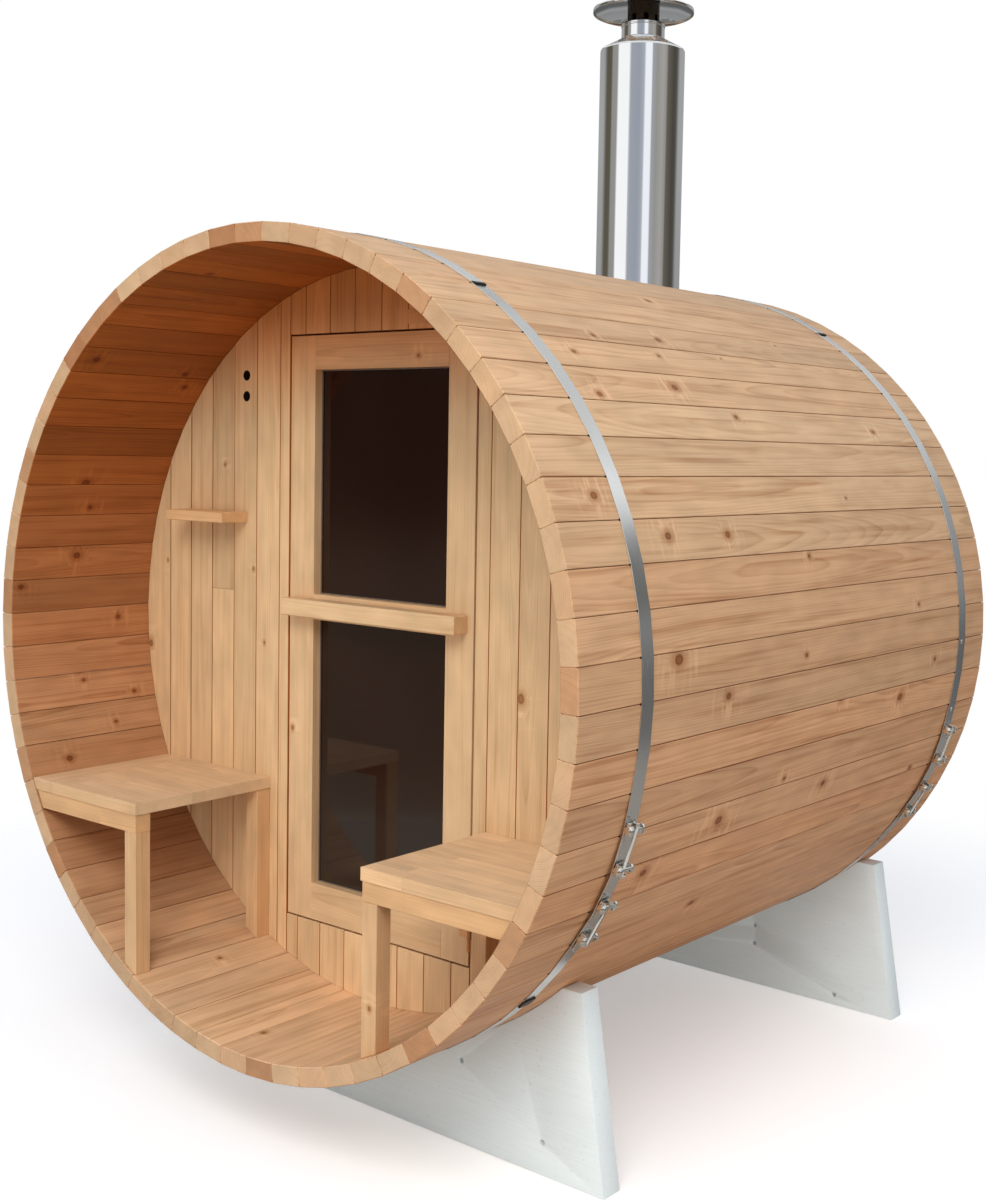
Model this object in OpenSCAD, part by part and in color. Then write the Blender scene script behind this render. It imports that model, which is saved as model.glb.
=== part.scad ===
// Barrel sauna: a round wooden cabin lying on two cradles, with an open porch,
// a glazed door, two porch benches, steel hoops and an insulated flue.
// Millimetres. +Z is up, the porch faces -Y, and the ground is at z = 0.

/* [Barrel] */
// Diameter of the barrel over the corners of its staves
barrel_d = 1970; // [1700:10:2300]
// Length of the barrel along its axis
barrel_len = 1910; // [1700:10:2600]
// Thickness of a stave
stave_t = 45; // [35:1:60]
// Staves in each of the eleven groups round the barrel
staves_per_group = 6; // [5:1:8]
// Turn of the ring of staves about the barrel's axis, in degrees
stave_turn = -1.6; // [-2.5:0.1:2.5]
// Height of the barrel's underside above the ground
barrel_lift = 190; // [175:5:300]

/* [Walls] */
// Depth of the open porch, from the front rim to the front wall
porch_depth = 440; // [400:5:600]
// Distance of the back wall from the rear rim
back_recess = 60; // [20:5:120]
// Thickness of the vertical wall boards
wall_t = 45; // [35:1:60]
// Diameter of an air vent in the front wall
vent_d = 28; // [16:1:40]
// Distance of the air vents from the middle of the wall
vent_x = 506; // [440:1:600]
// Depth of the upper air vent below the inner face of the staves above it
vent_drop = 121; // [60:1:240]
// Distance between the centres of the two air vents
vent_pitch = 56; // [45:1:90]

/* [Door] */
// Width of the door leaf
door_w = 652; // [620:2:680]
// Height of the door leaf
door_h = 1540; // [1500:5:1560]
// Thickness of the door leaf
door_t = 45; // [38:1:50]
// Gap between the door leaf and the wall
door_gap = 5; // [5:0.5:8]
// Width of each upright stile
stile_w = 91; // [70:1:120]
// Height of the top rail
top_rail_h = 88; // [60:1:120]
// Height of the middle rail
mid_rail_h = 66; // [50:1:110]
// Height of the bottom rail
bottom_rail_h = 98; // [60:1:140]
// Height of the middle rail's centre above the barrel's axis
mid_rail_z = 64; // [-100:1:200]
// Thickness of the glass
glass_t = 8; // [4:1:12]
// Depth of the glass behind the outer face of the door
glass_depth = 32; // [20:1:36]
// Length of the handle bar
bar_len = 614; // [400:2:616]
// Height of the handle bar's section
bar_h = 45; // [30:1:60]
// Distance that the handle bar stands out from the door
bar_out = 50; // [30:1:60]

/* [Hinges] */
// Radius of the hinge knuckle
knuckle_r = 6; // [5:0.5:8]
// Radius of the hinge pin
hinge_pin_r = 3; // [2:0.5:4]
// Height of one hinge
hinge_h = 90; // [60:5:120]
// Width of one hinge plate
hinge_plate_w = 28; // [20:1:40]
// Thickness of a hinge plate
hinge_plate_t = 2; // [1.5:0.5:3]
// Distance of each hinge's centre from the end of the door
hinge_inset = 85; // [70:5:200]

/* [Benches] */
// Thickness of a bench seat
seat_t = 30; // [20:1:45]
// Width of a bench leg and of the beam on the front leg
leg_w = 45; // [35:1:60]
// Height of the beam that lies on the front leg, under the seat's front edge
beam_h = 46; // [30:1:80]
// Overhang of a seat past its legs and beam, at its inner and front edges
seat_overhang = 3; // [0:1:20]
// Left bench: distance of the seat's inner edge from the middle
left_seat_x = 398; // [365:1:500]
// Left bench: depth of the seat's top below the barrel's axis
left_seat_drop = 412; // [350:1:480]
// Left bench: distance of the seat's front edge from the front rim
left_seat_front = 2; // [0:1:60]
// Right bench: distance of the seat's inner edge from the middle
right_seat_x = 373; // [365:1:500]
// Right bench: depth of the seat's top below the barrel's axis
right_seat_drop = 430; // [350:1:480]
// Right bench: distance of the seat's front edge from the front rim
right_seat_front = 28; // [0:1:60]

/* [Shelf] */
// Length of the shelf on the front wall
shelf_len = 238; // [150:1:260]
// Distance of the shelf's inner end from the middle
shelf_x = 500; // [420:1:560]
// Width of the shelf from the wall
shelf_w = 90; // [60:1:140]
// Thickness of the shelf
shelf_t = 28; // [18:1:40]
// Height of the shelf's top above the barrel's axis
shelf_z = 302; // [100:1:400]

/* [Hoops] */
// Width of a steel hoop
hoop_w = 42; // [25:1:60]
// Thickness of a steel hoop
hoop_t = 2; // [1.5:0.5:4]
// Distance of the front hoop from the front rim
front_hoop_y = 206; // [100:2:320]
// Distance of the rear hoop from the rear rim
rear_hoop_y = 131; // [121:1:200]
// Angle of the upper lock's middle from the top of the barrel
upper_lock_a = 109.2; // [95:0.1:112]
// Angle of the lower lock's middle from the top of the barrel
lower_lock_a = 120.6; // [119:0.1:124]
// Length of one lock along the hoop
lock_len = 116; // [90:1:130]
// Length of a lock's end bracket along the hoop
bracket_len = 26; // [18:1:34]
// Height of a lock's bracket above the hoop
bracket_h = 22; // [16:1:30]
// Diameter of a lock's bolt
lock_bolt_d = 10; // [6:1:12]

/* [Cradles] */
// Thickness of a cradle
cradle_t = 60; // [40:1:90]
// Height of a cradle's tips above the barrel's underside
cradle_tip_rise = 261; // [150:1:400]
// Width of the flat at each tip of a cradle, beside the barrel
cradle_tip_w = 54; // [20:1:90]
// Distance that a cradle's sides slope outward from the tips to the ground
cradle_splay = 75; // [0:1:120]
// Distance of the front cradle from the front rim
front_cradle_y = 375; // [260:5:480]
// Distance of the rear cradle from the rear rim
rear_cradle_y = 53; // [20:1:68]
// Diameter of a bolt hole in the cradles
cradle_hole_d = 14; // [8:1:18]
// Front cradle: distance of the inner hole from the middle
front_inner_hole_x = 367; // [320:1:420]
// Front cradle: height of the inner hole above the ground
front_inner_hole_z = 202; // [100:1:225]
// Front cradle: distance of the outer hole from the middle
front_outer_hole_x = 619; // [560:1:680]
// Front cradle: height of the outer hole above the ground
front_outer_hole_z = 77; // [30:1:180]
// Rear cradle: distance of the two inner holes from the middle
rear_inner_hole_x = 322; // [300:1:420]
// Rear cradle: height of the upper inner hole above the ground
rear_upper_hole_z = 185; // [160:1:200]
// Rear cradle: height of the lower inner hole above the ground
rear_lower_hole_z = 128; // [50:1:135]
// Rear cradle: distance of the outer hole from the middle
rear_outer_hole_x = 605; // [560:1:680]
// Rear cradle: height of the outer hole above the ground
rear_outer_hole_z = 30; // [20:1:180]

/* [Flue] */
// Outer diameter of the flue's casing
casing_d = 255; // [200:1:300]
// Thickness of the casing and liner sheet
sheet_t = 2; // [1:0.5:3]
// Distance of the flue from the front rim
flue_y = 1535; // [900:5:1600]
// Height of the casing's straight part above the ridge
casing_h = 709; // [400:1:900]
// Height of the cone on top of the casing
cone_h = 32; // [15:1:60]
// Outer diameter of the liner
liner_d = 130; // [100:1:160]
// Height of the liner above the cone
neck_h = 41; // [20:1:80]
// Length of the flue below the roof's inner face
flue_below = 60; // [30:5:150]
// Diameter of the ring of stays under the rain cap
stay_ring_d = 96; // [70:1:98]
// Width of a slot in the ring of stays
stay_slot_w = 14; // [6:1:18]
// Height of the gap between the liner and the rain cap
cap_gap = 34; // [20:1:60]
// Diameter of the rain cap
cap_d = 303; // [200:1:360]
// Height of the rain cap's rolled rim
cap_rim_h = 10; // [5:1:20]
// Rise of the rain cap's dome above its rim
cap_rise = 26; // [10:1:60]

/* [Fit] */
// Clearance between pieces that seat in or on each other
fit_gap = 0.3; // [0.2:0.1:0.5]
// Radial clearance of the hinge pin
pin_gap = 0.05; // [0.03:0.01:0.1]

/* [Hidden] */
$fn = 96;
group_count = 11;
stave_count = group_count * staves_per_group;
stave_a = 360 / stave_count;
group_a = 360 / group_count;
outer_r = barrel_d / 2;
axis_h = outer_r + barrel_lift;
outer_flat = outer_r * cos(stave_a / 2);
inner_r = (outer_flat - stave_t) / cos(stave_a / 2);
wall_r = inner_r - fit_gap / cos(stave_a / 2);
front_y = -barrel_len / 2;
rear_y = barrel_len / 2;
wall_y = front_y + porch_depth;
back_wall_y = rear_y - back_recess - wall_t;
opening_x = door_w / 2 + door_gap;
opening_z = door_h / 2 + door_gap;
vent_top_z = sqrt(inner_r * inner_r - vent_x * vent_x) - vent_drop;
stile_x = door_w / 2 - stile_w;
pane_w = 2 * (stile_x - fit_gap);
mid_rail_top = mid_rail_z + mid_rail_h / 2;
mid_rail_bottom = mid_rail_z - mid_rail_h / 2;
glass_top = door_h / 2 - top_rail_h;
glass_bottom = bottom_rail_h - door_h / 2;
hinge_x = door_w / 2 + door_gap / 2;
hinge_y = wall_y - knuckle_r;
knuckle_h = hinge_h / 3;
cradle_tip_z = cradle_tip_rise - outer_r;
cradle_tip_x = sqrt(outer_r * outer_r - cradle_tip_z * cradle_tip_z) + cradle_tip_w;
cradle_foot_x = cradle_tip_x + cradle_splay;
ridge_z = axis_h + outer_flat;
flue_center_y = front_y + flue_y;
casing_r = casing_d / 2;
liner_r = liner_d / 2;
flue_foot_z = axis_h + inner_r - flue_below;
cone_foot_z = ridge_z + casing_h;
liner_top_z = cone_foot_z + cone_h + neck_h;
cap_rim_z = liner_top_z + cap_gap;
cap_r = cap_d / 2;
crown_r = 0.7 * cap_r;
crown_share = 0.6;
left_bench = [-1, left_seat_x, left_seat_drop, left_seat_front];
right_bench = [1, right_seat_x, right_seat_drop, right_seat_front];
wood = [0.80, 0.62, 0.42];
wall_wood = [0.84, 0.68, 0.48];
white_paint = [0.88, 0.88, 0.85];
steel = [0.75, 0.76, 0.77];
dark_glass = [0.10, 0.09, 0.08, 0.6];

// A point at radius r and angle a, turned clockwise from the top
function polar(r, a) = [r * sin(a), r * cos(a)];

// Corners of the ring of staves between corner numbers k0 and k1
function ring(r, k0, k1) = [for (k = [k0:k1]) polar(r, stave_turn + (k - 0.5 * staves_per_group) * stave_a)];

// Reach of the staved outline along direction a
function outline_reach(a) = let (
    steps = (a - stave_turn) / stave_a + 0.5 * staves_per_group,
    off = (steps - round(steps)) * stave_a) outer_r * cos(off);

// Stands a flat outline up across the barrel, from y0 over length len
module across(y0, len) {
    translate([0, y0 + len, axis_h])
        rotate([90, 0, 0])
            linear_extrude(height = len)
                children();
}

module staved_disc(r) {
    polygon(ring(r, 0, stave_count - 1));
}

module stave_group(i) {
    k0 = i * staves_per_group;
    k1 = k0 + staves_per_group;
    color(wood)
        across(front_y, barrel_len)
            polygon(concat(ring(outer_r, k0, k1), [for (k = [k1:-1:k0]) ring(inner_r, k, k)[0]]));
}

module roof_staves() {
    difference() {
        stave_group(0);
        translate([0, flue_center_y, axis_h])
            cylinder(r = casing_r + fit_gap, h = 2 * outer_r);
    }
}

module wall_piece(x0, x1, z0, z1) {
    across(wall_y, wall_t)
        intersection() {
            staved_disc(wall_r);
            translate([x0, z0])
                square([x1 - x0, z1 - z0]);
        }
}

module front_wall_left() {
    color(wall_wood)
        difference() {
            wall_piece(-outer_r, -opening_x, -outer_r, outer_r);
            for (k = [0:1])
                translate([-vent_x, wall_y + 1.5 * wall_t, axis_h + vent_top_z - k * vent_pitch])
                    rotate([90, 0, 0])
                        cylinder(d = vent_d, h = 2 * wall_t);
        }
}

module front_wall_right() {
    color(wall_wood)
        wall_piece(opening_x, outer_r, -outer_r, outer_r);
}

module front_wall_top() {
    color(wall_wood)
        wall_piece(-opening_x, opening_x, opening_z, outer_r);
}

module front_wall_bottom() {
    color(wall_wood)
        wall_piece(-opening_x, opening_x, -outer_r, -opening_z);
}

module back_wall() {
    color(wall_wood)
        across(back_wall_y, wall_t)
            staved_disc(wall_r);
}

// A plain block across the door, from x0 to x1 and z0 to z1 about the barrel's axis
module door_block(x0, x1, z0, z1, y0 = wall_y, t = door_t) {
    translate([x0, y0, axis_h + z0])
        cube([x1 - x0, t, z1 - z0]);
}

module door_stile(side) {
    x0 = side < 0 ? -door_w / 2 : stile_x;
    color(wall_wood)
        door_block(x0, x0 + stile_w, -door_h / 2, door_h / 2);
}

module door_rail(z0, z1) {
    color(wall_wood)
        door_block(-stile_x, stile_x, z0, z1);
}

module door_pane(z0, z1) {
    y0 = wall_y + glass_depth - glass_t / 2;
    color(dark_glass)
        door_block(-pane_w / 2, pane_w / 2, z0 + fit_gap, z1 - fit_gap, y0, glass_t);
}

module door_handle_bar() {
    z0 = mid_rail_z - bar_h / 2;
    color(wall_wood)
        door_block(-bar_len / 2, bar_len / 2, z0, z0 + bar_h, wall_y - bar_out, bar_out);
}

// Places one hinge at each end of the door's right stile
module at_hinges() {
    for (s = [-1, 1])
        translate([hinge_x, hinge_y, axis_h + s * (door_h / 2 - hinge_inset)])
            children();
}

module hinge_plate(side, h) {
    x0 = side < 0 ? -door_gap / 2 - hinge_plate_w : door_gap / 2;
    translate([x0, knuckle_r - hinge_plate_t, -h / 2])
        cube([hinge_plate_w, hinge_plate_t, h]);
}

// The web joins a knuckle to its plate
module knuckle_web(side, h) {
    web_w = knuckle_r + door_gap / 2;
    translate([side < 0 ? -web_w : 0, knuckle_r - hinge_plate_t, -h / 2])
        cube([web_w, hinge_plate_t - fit_gap, h]);
}

module door_hinge_leaves() {
    h = knuckle_h - 2 * fit_gap;
    color(steel)
        at_hinges()
            difference() {
                union() {
                    cylinder(r = knuckle_r, h = h, center = true);
                    hinge_plate(-1, h);
                    knuckle_web(-1, h);
                }
                cylinder(r = hinge_pin_r + pin_gap, h = 2 * h, center = true);
            }
}

module hinge_pins() {
    color(steel)
        at_hinges() {
            cylinder(r = hinge_pin_r, h = hinge_h, center = true);
            for (s = [-1, 1])
                translate([0, 0, s * knuckle_h]) {
                    cylinder(r = knuckle_r, h = knuckle_h, center = true);
                    hinge_plate(1, knuckle_h);
                    knuckle_web(1, knuckle_h);
                }
        }
}

// Keeps only what lies inside the barrel's curved inner face, on the porch
module in_porch() {
    intersection() {
        children();
        across(front_y, porch_depth)
            staved_disc(wall_r);
    }
}

// A bench is [side, inner edge, depth of its top below the axis, front edge]
function bench_front(bench) = front_y + bench[3];
function seat_underside(bench) = -bench[2] - seat_t;

module bench_block(side, x0, x1, y0, y1, z0, z1) {
    color(wall_wood)
        in_porch()
            translate([side < 0 ? -x1 : x0, y0, axis_h + z0])
                cube([x1 - x0, y1 - y0, z1 - z0]);
}

module bench_seat(bench) {
    z0 = seat_underside(bench);
    bench_block(bench[0], bench[1], outer_r, bench_front(bench), wall_y, z0, z0 + seat_t);
}

module bench_beam(bench) {
    y0 = bench_front(bench) + seat_overhang;
    z1 = seat_underside(bench);
    bench_block(bench[0], bench[1] + seat_overhang, outer_r, y0, y0 + leg_w, z1 - beam_h, z1);
}

module bench_leg(bench, y0, z1) {
    x0 = bench[1] + seat_overhang;
    bench_block(bench[0], x0, x0 + leg_w, y0, y0 + leg_w, -outer_r, z1);
}

module bench_front_leg(bench) {
    bench_leg(bench, bench_front(bench) + seat_overhang, seat_underside(bench) - beam_h);
}

module bench_back_leg(bench) {
    bench_leg(bench, wall_y - leg_w, seat_underside(bench));
}

module porch_shelf() {
    color(wall_wood)
        in_porch()
            translate([-shelf_x - shelf_len, wall_y - shelf_w, axis_h + shelf_z - shelf_t])
                cube([shelf_len, shelf_w, shelf_t]);
}

module hoop(y0) {
    color(steel)
        across(y0, hoop_w)
            difference() {
                staved_disc(outer_r + fit_gap + hoop_t);
                staved_disc(outer_r + fit_gap);
            }
}

// Puts a piece that is drawn upright at the top onto the hoop at angle a
module on_hoop(y0, a) {
    seat_r = outline_reach(a) + 2 * fit_gap + hoop_t;
    translate([0, y0 + hoop_w / 2, axis_h])
        rotate([0, a, 0])
            translate([0, 0, seat_r])
                children();
}

// A lock is two end brackets and the bolt that draws them together
module hoop_lock(y0, a) {
    bracket_a = asin((lock_len - bracket_len) / 2 / outer_r);
    for (s = [-1, 1])
        on_hoop(y0, a + s * bracket_a)
            translate([-bracket_len / 2, -hoop_w / 2, 0])
                cube([bracket_len, hoop_w, bracket_h]);
    on_hoop(y0, a)
        translate([-lock_len / 2, 0, bracket_h / 2])
            rotate([0, 90, 0])
                cylinder(d = lock_bolt_d, h = lock_len);
}

module hoop_locks(y0) {
    color(steel) {
        hoop_lock(y0, upper_lock_a);
        hoop_lock(y0, lower_lock_a);
    }
}

module cradle(y0, holes) {
    color(white_paint)
        difference() {
            across(y0, cradle_t)
                polygon([[-cradle_foot_x, -axis_h], [cradle_foot_x, -axis_h],
                    [cradle_tip_x, cradle_tip_z], [-cradle_tip_x, cradle_tip_z]]);
            translate([0, y0 + 1.5 * cradle_t, axis_h])
                rotate([90, 0, 0])
                    cylinder(r = outer_r + fit_gap, h = 2 * cradle_t);
            for (s = [-1, 1], hole = holes)
                translate([s * hole[0], y0 + 1.5 * cradle_t, hole[1]])
                    rotate([90, 0, 0])
                        cylinder(d = cradle_hole_d, h = 2 * cradle_t);
        }
}

module cradle_front() {
    cradle(front_y + front_cradle_y, [[front_inner_hole_x, front_inner_hole_z],
        [front_outer_hole_x, front_outer_hole_z]]);
}

module cradle_rear() {
    cradle(rear_y - rear_cradle_y - cradle_t, [[rear_inner_hole_x, rear_upper_hole_z],
        [rear_inner_hole_x, rear_lower_hole_z],
        [rear_outer_hole_x, rear_outer_hole_z]]);
}

// Turns an outline of [radius, height] points about the flue's centre line
module on_flue() {
    translate([0, flue_center_y, 0])
        rotate_extrude()
            children();
}

module flue_casing() {
    hole_r = liner_r + fit_gap;
    color(steel)
        on_flue()
            polygon([[casing_r - sheet_t, flue_foot_z], [casing_r, flue_foot_z],
                [casing_r, cone_foot_z], [hole_r, cone_foot_z + cone_h],
                [hole_r, cone_foot_z + cone_h - sheet_t],
                [casing_r - sheet_t, cone_foot_z - sheet_t]]);
}

module flue_liner() {
    color(steel)
        on_flue()
            translate([liner_r - sheet_t, flue_foot_z])
                square([sheet_t, liner_top_z - flue_foot_z]);
}

// Height of the rain cap's top at radius r: a cone with a flatter crown
function cap_top(r) = cap_rim_z + cap_rim_h + cap_rise
    * (r > crown_r ? crown_share * (cap_r - r) / (cap_r - crown_r) : 1 - (1 - crown_share) * r / crown_r);

module rain_cap_stays() {
    ring_r = stay_ring_d / 2;
    ring_top = cap_top(ring_r) - sheet_t - fit_gap;
    color(steel)
        difference() {
            on_flue() {
                translate([ring_r - sheet_t, liner_top_z])
                    square([sheet_t, ring_top - liner_top_z]);
                translate([ring_r - sheet_t, liner_top_z])
                    square([liner_r - ring_r + sheet_t, sheet_t]);
            }
            for (a = [0:45:135])
                translate([0, flue_center_y, liner_top_z + cap_gap / 2])
                    rotate([0, 0, a])
                        cube([liner_d, stay_slot_w, cap_gap / 2], center = true);
        }
}

module rain_cap() {
    color(steel)
        on_flue()
            polygon([[cap_r, cap_rim_z], [cap_r, cap_top(cap_r)], [crown_r, cap_top(crown_r)],
                [0, cap_top(0)], [0, cap_top(0) - sheet_t], [crown_r, cap_top(crown_r) - sheet_t],
                [cap_r - sheet_t, cap_top(cap_r) - sheet_t], [cap_r - sheet_t, cap_rim_z]]);
}

roof_staves();  // staves_01
stave_group(1);  // staves_02
stave_group(2);  // staves_03
stave_group(3);  // staves_04
stave_group(4);  // staves_05
stave_group(5);  // staves_06
stave_group(6);  // staves_07
stave_group(7);  // staves_08
stave_group(8);  // staves_09
stave_group(9);  // staves_10
stave_group(10);  // staves_11
front_wall_left();
front_wall_right();
front_wall_top();
front_wall_bottom();
back_wall();
door_stile(-1);  // door_stile_left
door_stile(1);  // door_stile_right
door_rail(glass_top, door_h / 2);  // door_rail_top
door_rail(mid_rail_bottom, mid_rail_top);  // door_rail_middle
door_rail(-door_h / 2, glass_bottom);  // door_rail_bottom
door_pane(mid_rail_top, glass_top);  // door_glass_upper
door_pane(glass_bottom, mid_rail_bottom);  // door_glass_lower
door_handle_bar();
door_hinge_leaves();
hinge_pins();
bench_seat(left_bench);  // left_bench_seat
bench_beam(left_bench);  // left_bench_beam
bench_front_leg(left_bench);  // left_bench_front_leg
bench_back_leg(left_bench);  // left_bench_back_leg
bench_seat(right_bench);  // right_bench_seat
bench_beam(right_bench);  // right_bench_beam
bench_front_leg(right_bench);  // right_bench_front_leg
bench_back_leg(right_bench);  // right_bench_back_leg
porch_shelf();
hoop(front_y + front_hoop_y);  // hoop_front
hoop(rear_y - rear_hoop_y - hoop_w);  // hoop_rear
hoop_locks(front_y + front_hoop_y);  // hoop_locks_front
hoop_locks(rear_y - rear_hoop_y - hoop_w);  // hoop_locks_rear
cradle_front();
cradle_rear();
flue_casing();
flue_liner();
rain_cap_stays();
rain_cap();
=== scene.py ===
import math
import random

import bmesh
import bpy
from mathutils import Matrix, Vector


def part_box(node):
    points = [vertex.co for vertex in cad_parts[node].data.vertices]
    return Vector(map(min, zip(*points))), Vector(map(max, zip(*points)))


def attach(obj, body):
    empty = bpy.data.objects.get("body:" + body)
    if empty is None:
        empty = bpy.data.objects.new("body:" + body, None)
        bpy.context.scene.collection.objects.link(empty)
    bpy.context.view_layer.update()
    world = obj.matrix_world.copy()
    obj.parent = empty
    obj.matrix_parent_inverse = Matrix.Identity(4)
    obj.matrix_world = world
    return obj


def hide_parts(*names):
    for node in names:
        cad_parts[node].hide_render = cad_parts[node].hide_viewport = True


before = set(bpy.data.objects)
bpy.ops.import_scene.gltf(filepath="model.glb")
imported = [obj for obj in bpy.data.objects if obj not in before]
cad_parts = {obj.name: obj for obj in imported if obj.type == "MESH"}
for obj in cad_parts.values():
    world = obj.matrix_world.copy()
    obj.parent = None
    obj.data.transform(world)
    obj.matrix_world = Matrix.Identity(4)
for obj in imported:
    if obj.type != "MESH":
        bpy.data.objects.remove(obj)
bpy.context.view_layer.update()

# Lengths are millimetres in the barrel's own frame until spot() turns them into the scene's metres:
# x to the right seen from the porch, y back from the front rim, z up from the barrel's axis
MM = 0.001
FRONT_RIM_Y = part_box("staves_01")[0].y
AXIS_Z = 0.5 * (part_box("hoop_front")[0].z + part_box("hoop_front")[1].z)

# The photograph's frame and the camera solved from it, in pixels, degrees and metres
PHOTO_W = 986
PHOTO_H = 1200
FOCAL_PX = 1513.1
AXIS_PX = (554.3, 557.3)
CAMERA_AT = Vector((2.715, -3.212, AXIS_Z + 0.4836))
CAMERA_YAW = math.radians(-38.51)
CAMERA_PITCH = math.radians(-4.02)
CAMERA_ROLL = math.radians(1.12)

# The ring of staves
STAVES = 66
GROUP = 6
STEP = 2 * math.pi / STAVES
TURN = math.radians(-1.6)
FIRST_STAVE = 2.5
OUTER_FLAT = 983.88
STAVE_T = 45.0
INNER_FLAT = OUTER_FLAT - STAVE_T
SHELL_FLAT = INNER_FLAT - 0.3
BARREL_LEN = 1910.0

# Past the staves' inner faces, for outlines that in_shell cuts off
BEYOND = 950.0
PORCH = 440.0
WALL_T = 45.0
BACK_WALL = 1805.0
STAVE_GAP = 0.9
STAVE_CHAMFER = 1.4
TONGUE_DEPTH = 6.0

# The flue
FLUE = (0.0, 1535.0)
CASING_R = 127.5
CASING_TOP = OUTER_FLAT + 709
CONE_H = 32
LINER_R = 65
LINER_TOP = CASING_TOP + CONE_H + 41
FLUE_FOOT = 880.0

X_AXIS = Vector((1, 0, 0))
Y_AXIS = Vector((0, 1, 0))
Z_AXIS = Vector((0, 0, 1))

# Grain, width and thickness directions of a board
UPRIGHT = (Z_AXIS, X_AXIS, Y_AXIS)
CROSSWISE = (X_AXIS, Z_AXIS, Y_AXIS)
FLAT_CROSSWISE = (X_AXIS, Y_AXIS, Z_AXIS)
FLAT_DEEP = (Y_AXIS, X_AXIS, Z_AXIS)


def spot(x, y, z):
    """A place in the barrel's frame as a place in the scene."""
    return Vector((x * MM, FRONT_RIM_Y + y * MM, AXIS_Z + z * MM))


def rgb(red, green, blue):
    """A colour given as the eye sees it, 0 to 255, in the renderer's linear light."""
    def line(value):
        value /= 255
        return value / 12.92 if value <= 0.04045 else ((value + 0.055) / 1.055) ** 2.4
    return (line(red), line(green), line(blue), 1.0)


# Shader networks

# What warmth 1 multiplies a wood's colour by: the reddish light between boards that face each other
WARM = (0.97, 0.38, 0.06, 1.0)

# The same for the benches' painted warm shade, which is yellower
BENCH_SHADE_TINT = (0.96, 0.52, 0.10, 1.0)


class Net:
    """Adds nodes to a shader tree and joins them."""

    def __init__(self, tree):
        self.tree = tree

    def feed(self, socket, value):
        if isinstance(value, bpy.types.NodeSocket):
            self.tree.links.new(value, socket)
        else:
            socket.default_value = value

    def add(self, kind, settings=None, inputs=None):
        node = self.tree.nodes.new(kind)
        for key, value in (settings or {}).items():
            setattr(node, key, value)
        self.dress(node, inputs or {})
        return node

    def dress(self, node, inputs):
        """Feeds a node's inputs, each by its name or number."""
        for key, value in inputs.items():
            self.feed(node.inputs[key], value)

    def math(self, operation, *values):
        node = self.add("ShaderNodeMath", {"operation": operation})
        for socket, value in zip(node.inputs, values):
            self.feed(socket, value)
        return node.outputs[0]

    def attribute(self, name):
        return self.add("ShaderNodeAttribute", {"attribute_name": name}).outputs["Vector"]

    def parts(self, vector):
        return self.add("ShaderNodeSeparateXYZ", None, {0: vector}).outputs

    def place(self):
        """The place in the piece at rest, in metres."""
        return self.add("ShaderNodeTexCoord").outputs["Object"]

    def vector(self, x, y, z=0.0):
        return self.add("ShaderNodeCombineXYZ", None, {0: x, 1: y, 2: z}).outputs[0]

    def length(self, vector):
        return self.add("ShaderNodeVectorMath", {"operation": "LENGTH"}, {0: vector}).outputs["Value"]

    def scaled(self, vector, scale):
        return self.add("ShaderNodeMapping", None, {"Vector": vector, "Scale": scale}).outputs[0]

    def noise(self, vector, scale, detail=1.0, rough=0.5):
        inputs = {"Vector": self.scaled(vector, scale), "Scale": 1.0, "Detail": detail, "Roughness": rough}
        return self.add("ShaderNodeTexNoise", None, inputs).outputs[0]

    def ramp(self, value, stops):
        """A colour ramp: stops are (place, colour or grey)."""
        node = self.add("ShaderNodeValToRGB", None, {0: value})
        elements = node.color_ramp.elements
        elements.remove(elements[1])
        for number, (place, colour) in enumerate(stops):
            element = elements.new(place) if number else elements[0]
            element.position = place
            element.color = colour if isinstance(colour, tuple) else (colour, colour, colour, 1)
        return node.outputs[0]

    def range(self, value, low, high, to_low=0.0, to_high=1.0):
        inputs = {0: value, 1: low, 2: high, 3: to_low, 4: to_high}
        return self.add("ShaderNodeMapRange", {"interpolation_type": "SMOOTHSTEP"}, inputs).outputs[0]

    def mix(self, share, first, second, blend="MIX"):
        node = self.add("ShaderNodeMix", {"data_type": "RGBA", "blend_type": blend})
        self.feed(node.inputs[0], share)
        self.feed(node.inputs[6], first)
        self.feed(node.inputs[7], second)
        return node.outputs[2]

    def bump(self, height, distance, strength=1.0):
        inputs = {"Height": height, "Distance": distance, "Strength": strength}
        return self.add("ShaderNodeBump", None, inputs).outputs[0]


def new_material(name):
    """A material with its network and its shader node."""
    material = bpy.data.materials.new(name)
    material.use_nodes = True
    shader = material.node_tree.nodes["Principled BSDF"]
    return material, Net(material.node_tree), shader


def times(colour, shares):
    """A colour with its red, green and blue multiplied by three shares."""
    return tuple(min(1.0, part * share) for part, share in zip(colour, shares)) + (1.0,)


# Softwood's patterns, in waves a metre along, across and through a board
SWIRL = (5.0, 24.0, 24.0)
BEND = (0.8, 4.0, 4.0)
FIBRE = (6.0, 420.0, 420.0)
STREAKS = (1.7, 52.0, 52.0)
FIGURE = (8.0, 19.0, 19.0)
FLAME = (75.0, 11.0, 11.0)
KNOT_CELLS = (7.0, 8.5, 1.0)

# A growth ring's width in metres, and how dark the wood gets through the year
RING_W = 0.0042
YEAR = ((0.0, 0.0), (0.35, 0.12), (0.74, 0.6), (0.88, 1.0), (1.0, 0.1))
WOOD_ROUGH = 0.57

# The place of a knot that a cell doesn't have, in knot radii
NO_KNOT = 99.0

# A knot's halo, heart and rim as shares of the dark colour, and the flames round it of the light one
HALO = (1.0, 0.88, 0.76)
HEART = (0.80, 0.66, 0.56)
KNOT_RIM = (0.42, 0.33, 0.28)
GLOW = (1.16, 1.16, 1.16)
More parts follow.
